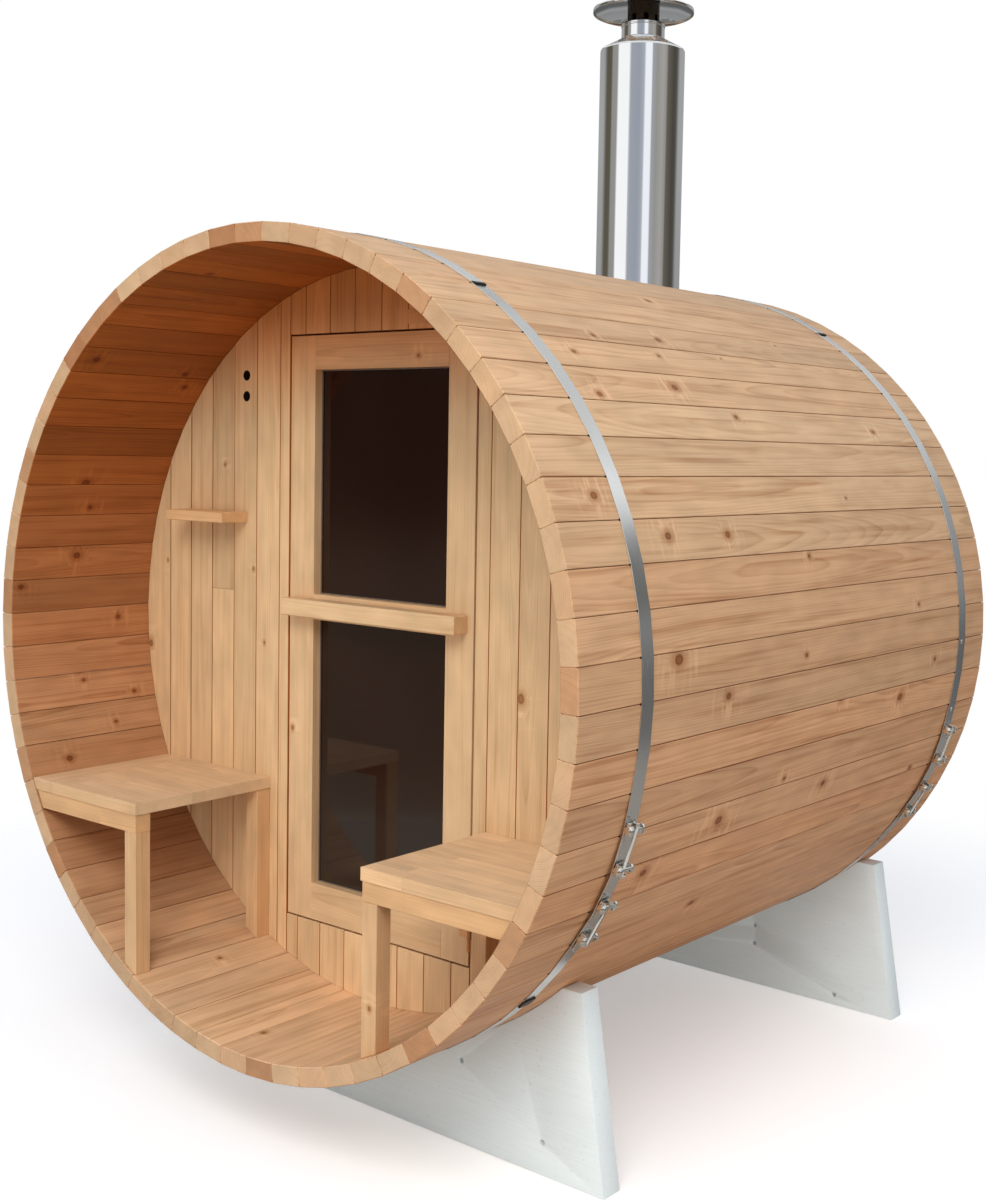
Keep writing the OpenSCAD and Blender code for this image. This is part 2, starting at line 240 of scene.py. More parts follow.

# Heights between which wood high under the staves turns warm, and dim: a painted warm shade
WARM_HEIGHTS = (AXIS_Z + 0.50, AXIS_Z + 0.92)
DIM_HEIGHTS = (AXIS_Z + 0.72, AXIS_Z + 0.86)

# Heights between which the glass turns from grey to brown, a painted reflection of the floor low in the
# door, and what stains do to metal's colour
FLOOR_REFLECTION_HEIGHTS = (AXIS_Z - 0.55, AXIS_Z - 0.25)
STAINED = (0.55, 0.55, 0.55)


def knot_distance(net, grain, cut, share):
    """Distance from the nearest knot, in knot radii: the board's chosen one, or one by chance."""
    cells = net.add("ShaderNodeTexVoronoi", {"voronoi_dimensions": "2D"},
                    {"Vector": net.scaled(grain, KNOT_CELLS), "Scale": 1.0})
    lot, size, shade = net.parts(cells.outputs["Color"])
    blank = net.math("GREATER_THAN", net.math("ADD", lot, cut), share)
    chance = net.math("DIVIDE", cells.outputs["Distance"], net.math("MULTIPLY_ADD", size, 0.045, 0.014))
    chance = net.math("ADD", chance, net.math("MULTIPLY", blank, NO_KNOT))
    along, across, radius = net.parts(net.attribute("knot"))
    chosen = net.length(net.vector(along, net.math("MULTIPLY", across, 1.3)))
    return net.math("MINIMUM", chance, net.math("DIVIDE", chosen, radius))


def growth(net, grain, swirl, knot):
    """How dark the year's growth is, 0 to 1, in rings round the pith that bulge round knots."""
    bulge = net.range(knot, 0.8, 5.5, 0.015, 0.0)
    bend = net.math("MULTIPLY", net.noise(grain, BEND, 0.0), 0.07)
    pith = net.length(net.scaled(grain, (0, 1, 1)))
    reach = net.math("ADD", net.math("ADD", pith, bend), net.math("MULTIPLY_ADD", swirl, 0.0045, bulge))
    slant = net.math("MULTIPLY", net.parts(grain)[0], 1.1)
    rings = net.math("ADD", net.math("DIVIDE", reach, RING_W), slant)
    year = net.add("ShaderNodeTexWhiteNoise", {"noise_dimensions": "1D"}, {"W": net.math("FLOOR", rings)})
    strength = net.math("MULTIPLY_ADD", year.outputs["Value"], 0.8, 0.4)
    return net.math("MULTIPLY", net.ramp(net.math("FRACT", rings), YEAR), strength)


def wood(name, light, dark, contrast=0.34, streaky=0.6, knots=0.015, shadow=False, warm=WARM):
    """Softwood: growth rings round each board's own pith, streaks, fibres, knots, and cut ends.

    The boards' meshes carry "grain", the place in the board along, across and through it in
    metres, "board", which holds tone, warmth and the mark of a cut end, and "knot", the place
    from the nearest chosen knot with that knot's radius. With shadow, the wood high under the
    staves takes their warm shade."""
    material, net, shader = new_material(name)
    grain = net.attribute("grain")
    tone, warmth, cut = net.parts(net.attribute("board"))
    swirl = net.noise(grain, SWIRL, 1.0)
    knot = net.math("MULTIPLY_ADD", swirl, 0.8, knot_distance(net, grain, cut, knots))
    late = growth(net, grain, swirl, knot)
    fibre = net.noise(grain, FIBRE, 1.0, 0.6)
    streaks = net.range(net.noise(grain, STREAKS, 2.0, 0.62), 0.44, 0.84, 0.0, streaky)
    figure = net.noise(grain, FIGURE, 1.0, 0.55)
    flame = net.noise(grain, FLAME, 1.0)
    # Painted shade: the wall and door high under the staves get warmer and darker
    if shadow:
        height = net.parts(net.place())[2]
        warmth = net.math("ADD", warmth, net.range(height, *WARM_HEIGHTS, 0.0, 0.85))
        tone = net.math("MULTIPLY", tone, net.range(height, *DIM_HEIGHTS, 1.06, 0.74))

    lines = net.math("MULTIPLY", late, net.math("MULTIPLY_ADD", warmth, 0.8 * contrast, contrast))
    streaks = net.math("MULTIPLY", streaks, net.math("MULTIPLY_ADD", cut, -0.9, 1.0))
    colour = net.mix(net.math("ADD", lines, streaks), light, dark)
    lit = net.math("MULTIPLY", net.range(flame, 0.48, 0.70), net.range(knot, 3.0, 12.0, 0.75, 0.0))
    colour = net.mix(lit, colour, times(light, GLOW))
    colour = net.mix(net.range(knot, 1.6, 4.2, 0.55, 0.0), colour, times(dark, HALO))
    core = net.mix(net.range(knot, 0.8, 1.4), times(dark, HEART), times(dark, KNOT_RIM))
    colour = net.mix(net.range(knot, 1.2, 1.9, 0.9, 0.0), colour, core)
    colour = net.mix(warmth, colour, warm, "MULTIPLY")
    for pattern, swing, least in ((fibre, 0.22, 0.89), (figure, 0.36, 0.82), (cut, -0.06, 1.0)):
        tone = net.math("MULTIPLY", tone, net.math("MULTIPLY_ADD", pattern, swing, least))
    net.dress(shader, {"Base Color": net.mix(1.0, colour, net.vector(tone, tone, tone), "MULTIPLY"),
                       "Roughness": net.math("MULTIPLY_ADD", late, -0.10, WOOD_ROUGH),
                       "Normal": net.bump(fibre, 0.0004, 0.45), "Specular IOR Level": 0.30})
    return material


def steel(name, colour, rough, wander=0.08, stain=0.12):
    """Brushed metal, drawn along the first direction of the "grain" attribute."""
    material, net, shader = new_material(name)
    grain = net.attribute("grain")
    brush = net.noise(grain, (3.0, 900.0, 900.0), 2.0, 0.65)
    dull = net.noise(grain, (9.0, 14.0, 14.0), 2.0)
    spots = net.noise(grain, (60.0, 60.0, 60.0), 2.0, 0.7)
    share = net.math("MULTIPLY_ADD", dull, stain, net.range(spots, 0.60, 0.75, 0.0, stain))
    uneven = net.math("MULTIPLY_ADD", dull, wander, net.math("MULTIPLY", brush, wander))
    net.dress(shader, {"Base Color": net.mix(share, colour, times(colour, STAINED)), "Metallic": 1.0,
                       "Roughness": net.math("ADD", uneven, rough), "Normal": net.bump(brush, 0.00004, 0.5)})
    return material


def polished(name):
    """The flue's bright sheet: nearly a mirror, with upright streaks."""
    material, net, shader = new_material(name)
    grain = net.attribute("grain")
    streak = net.noise(grain, (0.7, 120.0, 120.0), 2.0, 0.6)
    smear = net.noise(grain, (5.0, 9.0, 9.0), 3.0, 0.6)
    net.dress(shader, {"Base Color": net.mix(smear, rgb(248, 249, 250), rgb(236, 238, 240)),
                       "Roughness": net.math("MULTIPLY_ADD", smear, 0.05, 0.01),
                       "Normal": net.bump(streak, 0.0003, 0.28), "Metallic": 1.0})
    return material


def paint(name):
    """White paint on planed timber, thin over the grain, a little dirty in places."""
    material, net, shader = new_material(name)
    grain = net.attribute("grain")
    fibre = net.noise(grain, (9.0, 260.0, 260.0), 2.0, 0.6)
    cloud = net.noise(grain, (3.0, 9.0, 9.0), 3.0, 0.55)
    specks = net.range(net.noise(grain, (140, 140, 140), 1.0), 0.70, 0.78, 0.0, 0.30)
    colour = net.mix(cloud, rgb(236, 242, 240), rgb(227, 233, 230))
    colour = net.mix(net.range(fibre, 0.35, 0.7, 0.0, 0.25), colour, rgb(216, 222, 216))
    net.dress(shader, {"Base Color": net.mix(specks, colour, rgb(150, 148, 136)),
                       "Roughness": net.math("MULTIPLY_ADD", fibre, 0.2, 0.38),
                       "Normal": net.bump(fibre, 0.0003, 0.35), "Specular IOR Level": 0.35})
    return material


def glass(name):
    """Dark tinted glass: a deep brown body under a thin clear reflection, greyer low in the door, where a
    reflection of the floor is painted.
    """
    material, net, shader = new_material(name)
    place = net.place()
    haze = net.noise(place, (2.2, 2.2, 1.6), 2.0)
    smear = net.noise(place, (14.0, 14.0, 5.0), 2.0, 0.6)
    colour = net.mix(net.range(haze, 0.35, 0.75), rgb(31, 14, 10), rgb(40, 22, 17))
    # Painted reflection of the floor: the pane turns greyer low in the door
    low = net.range(net.parts(place)[2], *FLOOR_REFLECTION_HEIGHTS, 0.8, 0.0)
    net.dress(shader, {"Base Color": net.mix(low, colour, rgb(50, 41, 34)),
                       "Roughness": net.math("MULTIPLY_ADD", smear, 0.05, 0.02), "Specular IOR Level": 0.6})
    return material


def sealant(name):
    """The greyish bead round the glass."""
    material, net, shader = new_material(name)
    lumps = net.noise(net.place(), (60, 60, 60), 2.0)
    net.dress(shader, {"Base Color": net.mix(lumps, rgb(92, 80, 70), rgb(122, 108, 95)),
                       "Normal": net.bump(lumps, 0.0005, 0.5), "Roughness": 0.6})
    return material


MATERIALS = {
    "stave_wood": wood("stave_wood", rgb(215, 178, 138), rgb(160, 108, 62)),
    "wall_wood": wood("wall_wood", rgb(222, 186, 141), rgb(180, 131, 79), contrast=0.28, streaky=0.45,
                      shadow=True),
    "door_wood": wood("door_wood", rgb(220, 184, 140), rgb(181, 132, 80), contrast=0.26, streaky=0.38,
                      knots=0.0, shadow=True),
    "bench_wood": wood("bench_wood", rgb(231, 197, 155), rgb(192, 146, 99), contrast=0.26, streaky=0.36,
                       knots=0.0, warm=BENCH_SHADE_TINT),
    "hoop_steel": steel("hoop_steel", rgb(236, 238, 238), 0.17, stain=0.14),
    "lock_steel": steel("lock_steel", rgb(244, 244, 240), 0.07, wander=0.06, stain=0.10),
    "hinge_steel": steel("hinge_steel", rgb(236, 206, 168), 0.36),
    "flue_steel": polished("flue_steel"),
    "dark_steel": steel("dark_steel", rgb(74, 68, 62), 0.42, stain=0.5),
    "white_paint": paint("white_paint"),
    "dark_glass": glass("dark_glass"),
    "sealant": sealant("sealant"),
}


# Outlines

def clip(outline, normal, reach):
    """The part of a convex outline whose distance along the normal is at most reach."""
    kept = []
    for here, there in zip(outline, outline[1:] + outline[:1]):
        a = here[0] * normal[0] + here[1] * normal[1] - reach
        b = there[0] * normal[0] + there[1] * normal[1] - reach
        if a <= 0:
            kept.append(here)
        if a * b < 0:
            share = a / (a - b)
            kept.append((here[0] + share * (there[0] - here[0]), here[1] + share * (there[1] - here[1])))
    return kept


def stave_angle(index):
    """Angle of a stave's middle from the top, clockwise seen from the porch."""
    return TURN + (index - FIRST_STAVE) * STEP


def seam_angle(index):
    """Angle of the joint before a stave."""
    return TURN + (index - FIRST_STAVE - 0.5) * STEP


def ring_axes(angle):
    """Directions clockwise round the barrel and out of it, at an angle from the top."""
    return Vector((math.cos(angle), 0, -math.sin(angle))), Vector((math.sin(angle), 0, math.cos(angle)))


def tidy(outline, least=2.5):
    """The outline without corners that nearly coincide."""
    kept = []
    for corner in outline:
        if not kept or math.dist(corner, kept[-1]) > least:
            kept.append(corner)
    if math.dist(kept[0], kept[-1]) <= least:
        kept.pop()
    return kept


def in_shell(outline):
    """The part of an outline inside the staves' inner faces."""
    for index in range(STAVES):
        angle = stave_angle(index)
        outline = clip(outline, (math.sin(angle), math.cos(angle)), SHELL_FLAT)
    return tidy(outline)


def rectangle(x0, x1, z0, z1):
    return [(x0, z0), (x1, z0), (x1, z1), (x0, z1)]


def bevelled(outline, size):
    """The outline with its sharp corners cut off."""
    result = []
    count = len(outline)
    for i, corner in enumerate(outline):
        back = Vector(outline[i - 1]) - Vector(corner)
        ahead = Vector(outline[(i + 1) % count]) - Vector(corner)
        sharp = back.normalized().dot(ahead.normalized()) > -0.87
        if sharp and min(back.length, ahead.length) > 2.5 * size:
            result.append(tuple(Vector(corner) + size * back.normalized()))
            result.append(tuple(Vector(corner) + size * ahead.normalized()))
        else:
            result.append(tuple(corner))
    return result


def inset(outline, size):
    """The outline moved inward by size; corners run anticlockwise or clockwise."""
    count = len(outline)
    area = sum(outline[i - 1][0] * outline[i][1] - outline[i][0] * outline[i - 1][1] for i in range(count))
    way = 1 if area > 0 else -1
    result = []
    for i, corner in enumerate(outline):
        before = (Vector(corner) - Vector(outline[i - 1])).normalized()
        after = (Vector(outline[(i + 1) % count]) - Vector(corner)).normalized()
        first = way * Vector((-before.y, before.x))
        second = way * Vector((-after.y, after.x))
        reach = size / max(0.3, 1 + first.dot(second))
        result.append(tuple(Vector(corner) + reach * (first + second)))
    return result


def sleeve(count, levels):
    """Faces of a tube of rings with count corners each: its two ends, then its sides."""
    last = (levels - 1) * count
    faces = [tuple(range(count)), tuple(range(last, last + count))]
    for low in range(0, last, count):
        for i in range(count):
            j = (i + 1) % count
            faces.append((low + i, low + j, low + count + j, low + count + i))
    return faces


def prism(outline, start, end, chamfer, cuts=()):
    """Corners and faces of an outline drawn from start to end, with chamfered ends and rings at the cuts."""
    narrow = inset(outline, chamfer)
    rings = [(narrow, start), (outline, start + chamfer)] + [(outline, cut) for cut in cuts]
    rings += [(outline, end - chamfer), (narrow, end)]
    return [(a, b, h) for ring, h in rings for a, b in ring], sleeve(len(outline), len(rings))


def circle(radius, sides):
    """Points evenly round a circle."""
    turns = [2 * math.pi * i / sides for i in range(sides)]
    return [(radius * math.cos(turn), radius * math.sin(turn)) for turn in turns]


def cylinder(centre, direction, radius, length, sides):
    """Corners and faces of a plain cylinder through centre, in scene metres."""
    turn = direction.to_track_quat("Z", "Y").to_matrix()
    rim = circle(radius, sides)
    corners = [centre + turn @ Vector((a, b, end * length)) for end in (-0.5, 0.5) for a, b in rim]
    return corners, sleeve(sides, 2)


# Meshes and pieces

def new_mesh(name, corners, faces):
    mesh = bpy.data.meshes.new(name)
    mesh.from_pydata(corners, [], faces)
    return mesh


def face_outward(mesh):
    tool = bmesh.new()
    tool.from_mesh(mesh)
    bmesh.ops.recalc_face_normals(tool, faces=tool.faces)
    tool.to_mesh(mesh)
    tool.free()


def store(mesh, key, domain, vectors):
    """Keeps a vector for each point, face or face corner, for the materials to read."""
    layer = mesh.attributes.new(key, "FLOAT_VECTOR", domain)
    layer.data.foreach_set("vector", [part for vector in vectors for part in vector])


def add_object(name, data):
    """A new object in the scene."""
    thing = bpy.data.objects.new(name, data)
    bpy.context.scene.collection.objects.link(thing)
    return thing


def link(name, mesh, slot, body="sauna", nodes=()):
    """Makes a mesh a piece that rides a body and stands for CAD nodes."""
    face_outward(mesh)
    piece = add_object(name, mesh)
    mesh.materials.append(MATERIALS[slot])
    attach(piece, body)
    if nodes:
        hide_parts(*nodes)


def solid(name, corners, faces):
    """A helper object with outward faces."""
    mesh = new_mesh(name, corners, faces)
    face_outward(mesh)
    return add_object(name, mesh)


def carve(corners, faces, cutters):
    """A board's corners and faces after the cutters, each (corners, faces), are taken away."""
    board = solid("board", corners, faces)
    knives = [solid("cutter", *cutter) for cutter in cutters]
    for knife in knives:
        change = board.modifiers.new("cut", "BOOLEAN")
        change.operation = "DIFFERENCE"
        change.solver = "EXACT"
        change.object = knife
    bpy.context.view_layer.update()
    carved = board.evaluated_get(bpy.context.evaluated_depsgraph_get()).to_mesh()
    points = [vertex.co.copy() for vertex in carved.vertices]
    polygons = [tuple(polygon.vertices) for polygon in carved.polygons]
    for thing in [board] + knives:
        bpy.data.objects.remove(thing)
    return points, polygons


# How far the pith is from a board's middle, along, across and through it, in metres
PITH_SHIFT = ((0, 40), (-0.085, 0.085), (0.018, 0.085))

# A board without a knot has it this many metres away
NO_KNOT_AWAY = 9


class Boards:
    """Gathers separate boards into one mesh, each with its own grain, tone and knot."""

    def __init__(self, seed):
        self.dice = random.Random(seed)
        self.corners = []
        self.faces = []
        self.grain = []
        self.knot = []
        self.board = []

    def put(self, corners, faces, axes, tone=None, warmth=0.0, knots=(), cutters=(), spread=0.11,
            paint=None):
        """Adds a board from its corners in scene metres. Each knot is its place and its radius in mm.
        paint(centre, normal, tone, warmth) may change the looks of one face."""
        dice = self.dice
        shift = Vector([dice.uniform(low, high) for low, high in PITH_SHIFT])
        shade = dice.uniform(1 - spread, 1 + spread)
        if tone is not None:
            shade = tone * dice.uniform(0.985, 1.015)
        middle = sum(corners, Vector()) / len(corners)
        if cutters:
            corners, faces = carve(corners, faces, cutters)
        first = len(self.corners)
        self.corners += corners
        self.grain += [Vector([(corner - middle).dot(axis) for axis in axes]) + shift for corner in corners]
        for face in faces:
            points = [corners[i] for i in face]
            centre = sum(points, Vector()) / len(points)
            start = points[0]
            turns = [(a - start).cross(b - start) for a, b in zip(points[1:], points[2:])]
            normal = sum(turns, Vector()).normalized()
            looks = paint(centre, normal, shade, warmth) if paint else (shade, warmth)
            cut = 1.0 if abs(normal.dot(axes[0])) > 0.8 else 0.0
            self.faces.append(tuple(first + i for i in face))
            self.board.append(looks + (cut,))
            none = (centre + NO_KNOT_AWAY * X_AXIS, 1)
            place, radius = min(knots, key=lambda knot: (knot[0] - centre).length, default=none)
            for point in points:
                away = point - place
                self.knot.append((away.dot(axes[0]), away.dot(axes[1]), radius * MM))

    def slab(self, outline, y0, y1, axes, chamfer=1.2, **looks):
        """Adds a board whose outline is seen from the porch, from depth y0 to depth y1."""
        corners, faces = prism(bevelled(outline, chamfer), y0, y1, chamfer)
        self.put([spot(a, h, b) for a, b, h in corners], faces, axes, **looks)

    def build(self, name, slot, body="sauna", nodes=()):
        mesh = new_mesh(name, self.corners, self.faces)
        store(mesh, "grain", "POINT", self.grain)
        store(mesh, "knot", "CORNER", self.knot)
        store(mesh, "board", "FACE", self.board)
        link(name, mesh, slot, body, nodes)


# The barrel

def stave_outline(index):
    """A stave's section: shallow open joints at both faces and a close joint between."""
    angle = stave_angle(index)
    out = Vector((math.sin(angle), math.cos(angle)))
    side = Vector((math.cos(angle), -math.sin(angle)))
    slope = math.tan(0.5 * STEP)
    half = [
        (OUTER_FLAT * slope - STAVE_GAP - STAVE_CHAMFER, OUTER_FLAT),
        (OUTER_FLAT * slope - STAVE_GAP, OUTER_FLAT - STAVE_CHAMFER),
        ((OUTER_FLAT - TONGUE_DEPTH) * slope - STAVE_GAP, OUTER_FLAT - TONGUE_DEPTH),
        ((OUTER_FLAT - TONGUE_DEPTH - 1) * slope - 0.1, OUTER_FLAT - TONGUE_DEPTH - 1),
        ((INNER_FLAT + TONGUE_DEPTH + 1) * slope - 0.1, INNER_FLAT + TONGUE_DEPTH + 1),
        ((INNER_FLAT + TONGUE_DEPTH) * slope - 0.6, INNER_FLAT + TONGUE_DEPTH),
        (INNER_FLAT * slope - 0.6, INNER_FLAT + 1.0),
        (INNER_FLAT * slope - 1.6, INNER_FLAT),
    ]
    outline = [(t, d) for t, d in half] + [(-t, d) for t, d in reversed(half)]
    return [tuple(t * side + d * out) for t, d in outline]


# Tones and warmth of the staves' front ends that stand out in the photograph, by stave number
END_LOOKS = {
    0: (0.98, 0.1), 1: (1.0, 0.05), 2: (0.74, 0.45), 3: (0.84, 0.35), 64: (1.06, 0.0), 65: (1.02, 0.0),
    61: (0.74, 0.5), 62: (0.8, 0.4), 63: (0.82, 0.4), 35: (0.80, 0.35), 29: (0.80, 0.40), 57: (0.88, 0.3),
    53: (0.8, 0.4), 48: (0.9, 0.3), 45: (0.85, 0.4), 9: (0.9, 0.3), 19: (0.9, 0.3), 25: (0.85, 0.3),
}

# Knots in the staves' outer and inner faces: stave, place back from the rim, place across, radius
OUTER_KNOTS = (
    (10, 470, 26, 6), (10, 1341, -28, 3), (11, 339, -1, 6), (11, 676, -16, 5), (11, 962, -31, 2.5),
    (12, 324, 30, 7), (12, 641, -6, 9), (13, 831, -21, 6), (13, 1513, 4, 6), (16, 362, -8, 9),
    (17, 930, -34, 5), (19, 342, -30, 12), (19, 879, 11, 5), (18, 1486, 25, 5), (20, 539, -25, 9),
    (15, 1192, 13, 3), (21, 1404, -15, 10), (20, 1594, -5, 6), (15, 146, -7, 8), (22, 861, 30, 5),
    (23, 1083, -11, 9), (23, 605, -3, 12), (24, 358, -15, 10), (26, 691, -18, 8),
)
INNER_KNOTS = (
    (0, 132, -31, 7), (61, 55, 2, 8), (61, 351, -30, 6), (60, 375, 13, 6), (57, 179, -38, 9),
    (56, 210, -22, 6), (54, 191, 17, 9), (53, 25, 27, 7), (52, 336, 13, 6), (50, 211, 23, 5),
    (50, 371, -25, 5), (48, 123, -8, 8), (49, 294, -15, 5), (36, 120, 30, 6), (40, 250, 10, 5),
)

# Tone and warmth of the staves' inner faces, by the angle from the top: painted warm shade high in the porch
# and under the benches, and painted light on the staves underfoot
INNER_PAINTED_SHADE_AND_LIGHT = ((0, 0.62, 1.0), (60, 0.55, 0.93), (88, 0.70, 0.62), (108, 0.69, 0.30), (116, 0.60, 0.40),
               (128, 0.74, 0.38), (145, 0.93, 0.16), (160, 1.16, 0.0), (180, 1.32, 0.03))

# The same for their outer faces: the lower side is a deeper brown, a painted shade
OUTER_PAINTED_SHADE = ((0, 1.0, 0.0), (60, 1.0, 0.0), (80, 0.99, 0.10), (105, 0.96, 0.24), (130, 0.86, 0.30),
               (180, 0.9, 0.2))

# The faces of a joint are dark
JOINT_LOOKS = (0.6, 0.9)

# The staves underfoot differ less from each other
PORCH_FLOOR_FROM = 118
PORCH_FLOOR_VARIETY = 0.4


def stave_axes(index):
    """Directions along, across and out of a stave."""
    return (Y_AXIS,) + ring_axes(stave_angle(index))


def stave_knots(index):
    """The chosen knots of one stave, as places and radii."""
    across, out = ring_axes(stave_angle(index))
    result = []
    for table, reach in ((OUTER_KNOTS, OUTER_FLAT), (INNER_KNOTS, INNER_FLAT)):
        for stave, y, side, radius in table:
            if stave == index:
                place = across * side + out * reach
                result.append((spot(place.x, y, place.z), radius))
    return sorted(result, key=lambda knot: knot[0].y)


def blend_table(table, value):
    """Tone and warmth between the table's rows."""
    for low, high in zip(table, table[1:]):
        if value <= high[0]:
            share = (value - low[0]) / (high[0] - low[0])
            return [a + share * (b - a) for a, b in zip(low[1:], high[1:])]
    return table[-1][1:]


def stave_paint(index, inner_shade):
    """Looks of a stave's faces: dark joints, painted warm shade and painted light on the inner faces,
    painted shade low on the outer faces, and chosen front ends.
    """
    across, out = ring_axes(stave_angle(index))
    degrees = abs((math.degrees(stave_angle(index)) + 180) % 360 - 180)
    inner_tone, inner_warmth = blend_table(INNER_PAINTED_SHADE_AND_LIGHT, degrees)
    outer_tone, outer_warmth = blend_table(OUTER_PAINTED_SHADE, degrees)
    if degrees > PORCH_FLOOR_FROM:
        inner_shade = 1 + PORCH_FLOOR_VARIETY * (inner_shade - 1)

    def paint(centre, normal, tone, warmth):
        if abs(normal.dot(across)) > 0.9:
            return JOINT_LOOKS
        reach = (centre - spot(0, 0, 0)).dot(out)
        # Inner faces take painted warm shade high in the porch and painted light underfoot; outer faces take
        # painted shade low on the side
        if abs(normal.dot(out)) > 0.7 and reach < (INNER_FLAT + 5) * MM:
            return inner_tone * inner_shade, inner_warmth
        if abs(normal.dot(out)) > 0.7:
            return tone * outer_tone, warmth + outer_warmth
        if abs(normal.y) > 0.6 and centre.y < 0:
            return END_LOOKS.get(index, (tone, warmth))
        return tone, warmth

    return paint


def build_staves():
    """Eleven groups of six staves, the top group cut for the flue."""
    flue_hole = cylinder(spot(*FLUE, BEYOND), Z_AXIS, (CASING_R + 0.3) * MM, 0.4, 96)
    for group in range(STAVES // GROUP):
        boards = Boards(100 + group)
        for index in range(group * GROUP, (group + 1) * GROUP):
            knots = stave_knots(index)
            places = [(knot[0].y - FRONT_RIM_Y) / MM for knot in knots]
            cuts = [0.5 * (low + high) for low, high in zip(places, places[1:])]
            nudge = boards.dice.uniform(0, 0.8)
            corners, faces = prism(stave_outline(index), nudge, BARREL_LEN - nudge, 1.6, cuts)
            boards.put([spot(a, h, b) for a, b, h in corners], faces, stave_axes(index), knots=knots,
                       warmth=0.12 * boards.dice.random(), cutters=[flue_hole] if group == 0 else (),
                       spread=0.09, paint=stave_paint(index, boards.dice.uniform(0.78, 1.22)))
        node = f"staves_{group + 1:02d}"
        boards.build(f"{node}_boards", "stave_wood", nodes=[node])


build_staves()


# The walls

DOOR_HALF_W = 326.0
DOOR_HALF_H = 770.0
DOOR_GAP = 5.0
OPENING_X = DOOR_HALF_W + DOOR_GAP
OPENING_Z = DOOR_HALF_H + DOOR_GAP
VENTS = ((-506, 671), (-506, 615))
VENT_R = 14
# The vents' bores are painted near black, as the shade deep in the holes
VENT_BORE_SHADE = (0.03, 0.0)
LEFT_SEAMS = (-834, -741, -648, -555, -462, -369)
RIGHT_SEAMS = (375, 467.5, 560, 652, 744, 837)
TOP_SEAMS = (-272, -181, -90, 5, 97, 190, 282)
BOTTOM_SEAMS = (-288, -200, -108, -14, 85, 178, 270)
BACK_SEAMS = tuple(5 + 92.4 * k for k in range(-10, 11))
WALL_JOINT = 0.45

# One board of the left part is in two pieces: its left seam, the butt joint's height, and the tones
BUTTED = -648
BUTT_JOINT_Z = 85
BUTTED_TONES = (1.02, 0.84)

# The small block over the door
BLOCK = (93, 171, 788, 822)

# Knots in the walls: place across, height, radius
WALL_KNOTS = ((-474, 149, 4), (-847, 150, 4), (-428, -49, 4), (-595, 428, 4), (478, -96, 9))


def wall_paint(centre, normal, tone, warmth):
    """The joints between wall boards are dark, and the air vents' bores black as painted shade."""
    for x, z in VENTS:
        if (centre - spot(x, PORCH + 0.5 * WALL_T, z)).xz.length < 1.1 * VENT_R * MM and abs(normal.y) < 0.5:
            return VENT_BORE_SHADE
    if abs(normal.x) > 0.3:
        return JOINT_LOOKS
    return tone, warmth


def knots_between(table, left, right, z0, z1):
    """The table's knots that lie in one board."""
    return [(spot(x, PORCH, z), radius) for x, z, radius in table if left < x < right and z0 < z < z1]


def upright_board(boards, left, right, z0, z1, y0, y1, **looks):
    """A board between two seams, cut to the shell."""
    outline = in_shell(rectangle(left + WALL_JOINT, right - WALL_JOINT, z0, z1))
    boards.slab(outline, y0 + boards.dice.uniform(0, 0.5), y1, UPRIGHT, paint=wall_paint,
                knots=knots_between(WALL_KNOTS, left, right, z0, z1), **looks)


def left_wall():
    """The boards left of the door, with the air vents and the butted board."""
    vents = [cylinder(spot(x, PORCH + 0.5 * WALL_T, z), Y_AXIS, VENT_R * MM, 0.2, 40) for x, z in VENTS]
    boards = Boards(210)
    seams = (-BEYOND,) + LEFT_SEAMS + (-OPENING_X,)
    for x0, x1 in zip(seams, seams[1:]):
        spans = ((-BEYOND, BEYOND, None),)
        if x0 == BUTTED:
            spans = ((-BEYOND, BUTT_JOINT_Z, BUTTED_TONES[0]), (BUTT_JOINT_Z, BEYOND, BUTTED_TONES[1]))
        for z0, z1, tone in spans:
            upright_board(boards, x0, x1, z0 + 0.2, z1 - 0.2, PORCH, PORCH + WALL_T, tone=tone, spread=0.07,
                          cutters=vents if x0 < VENTS[0][0] < x1 else ())
    boards.build("front_wall_left_boards", "wall_wood", nodes=["front_wall_left"])


def build_walls():
    """The front wall round the door, and the back wall."""
    left_wall()
    beside = (OPENING_X,) + RIGHT_SEAMS + (BEYOND,)
    over = (-OPENING_X,) + TOP_SEAMS + (OPENING_X,)
    under = (-OPENING_X,) + BOTTOM_SEAMS + (OPENING_X,)
    behind = (-BEYOND,) + BACK_SEAMS + (BEYOND,)
    walls = (("front_wall_right", 220, beside, -BEYOND, BEYOND, PORCH),
             ("front_wall_top", 230, over, OPENING_Z, BEYOND, PORCH),
             ("front_wall_bottom", 240, under, -BEYOND, -OPENING_Z, PORCH),
             ("back_wall", 250, behind, -BEYOND, BEYOND, BACK_WALL))
    for node, seed, seams, z0, z1, y0 in walls:
        boards = Boards(seed)
        for left, right in zip(seams, seams[1:]):
            upright_board(boards, left, right, z0, z1, y0, y0 + WALL_T)
        if node == "front_wall_top":
            boards.slab(rectangle(*BLOCK), PORCH - 0.4, PORCH + 2, UPRIGHT, chamfer=0.3, tone=0.97)
        boards.build(f"{node}_boards", "wall_wood", nodes=[node])


build_walls()


# The door

STILE_W = 91.0
TOP_RAIL_H = 88.0
MID_RAIL_H = 66.0
BOTTOM_RAIL_H = 98.0
MID_RAIL_Z = 64.0
DOOR_T = 45.0
GLASS_Y = PORCH + 28.0
GLASS_T = 8.0
BAR_HALF = 307.0
BAR_H = 45.0
BAR_OUT = 50.0
BEAD_W = 3.0
BEAD_T = 4.0
DOOR_KNOTS = ((133, 710, 5), (-312, -266, 5))


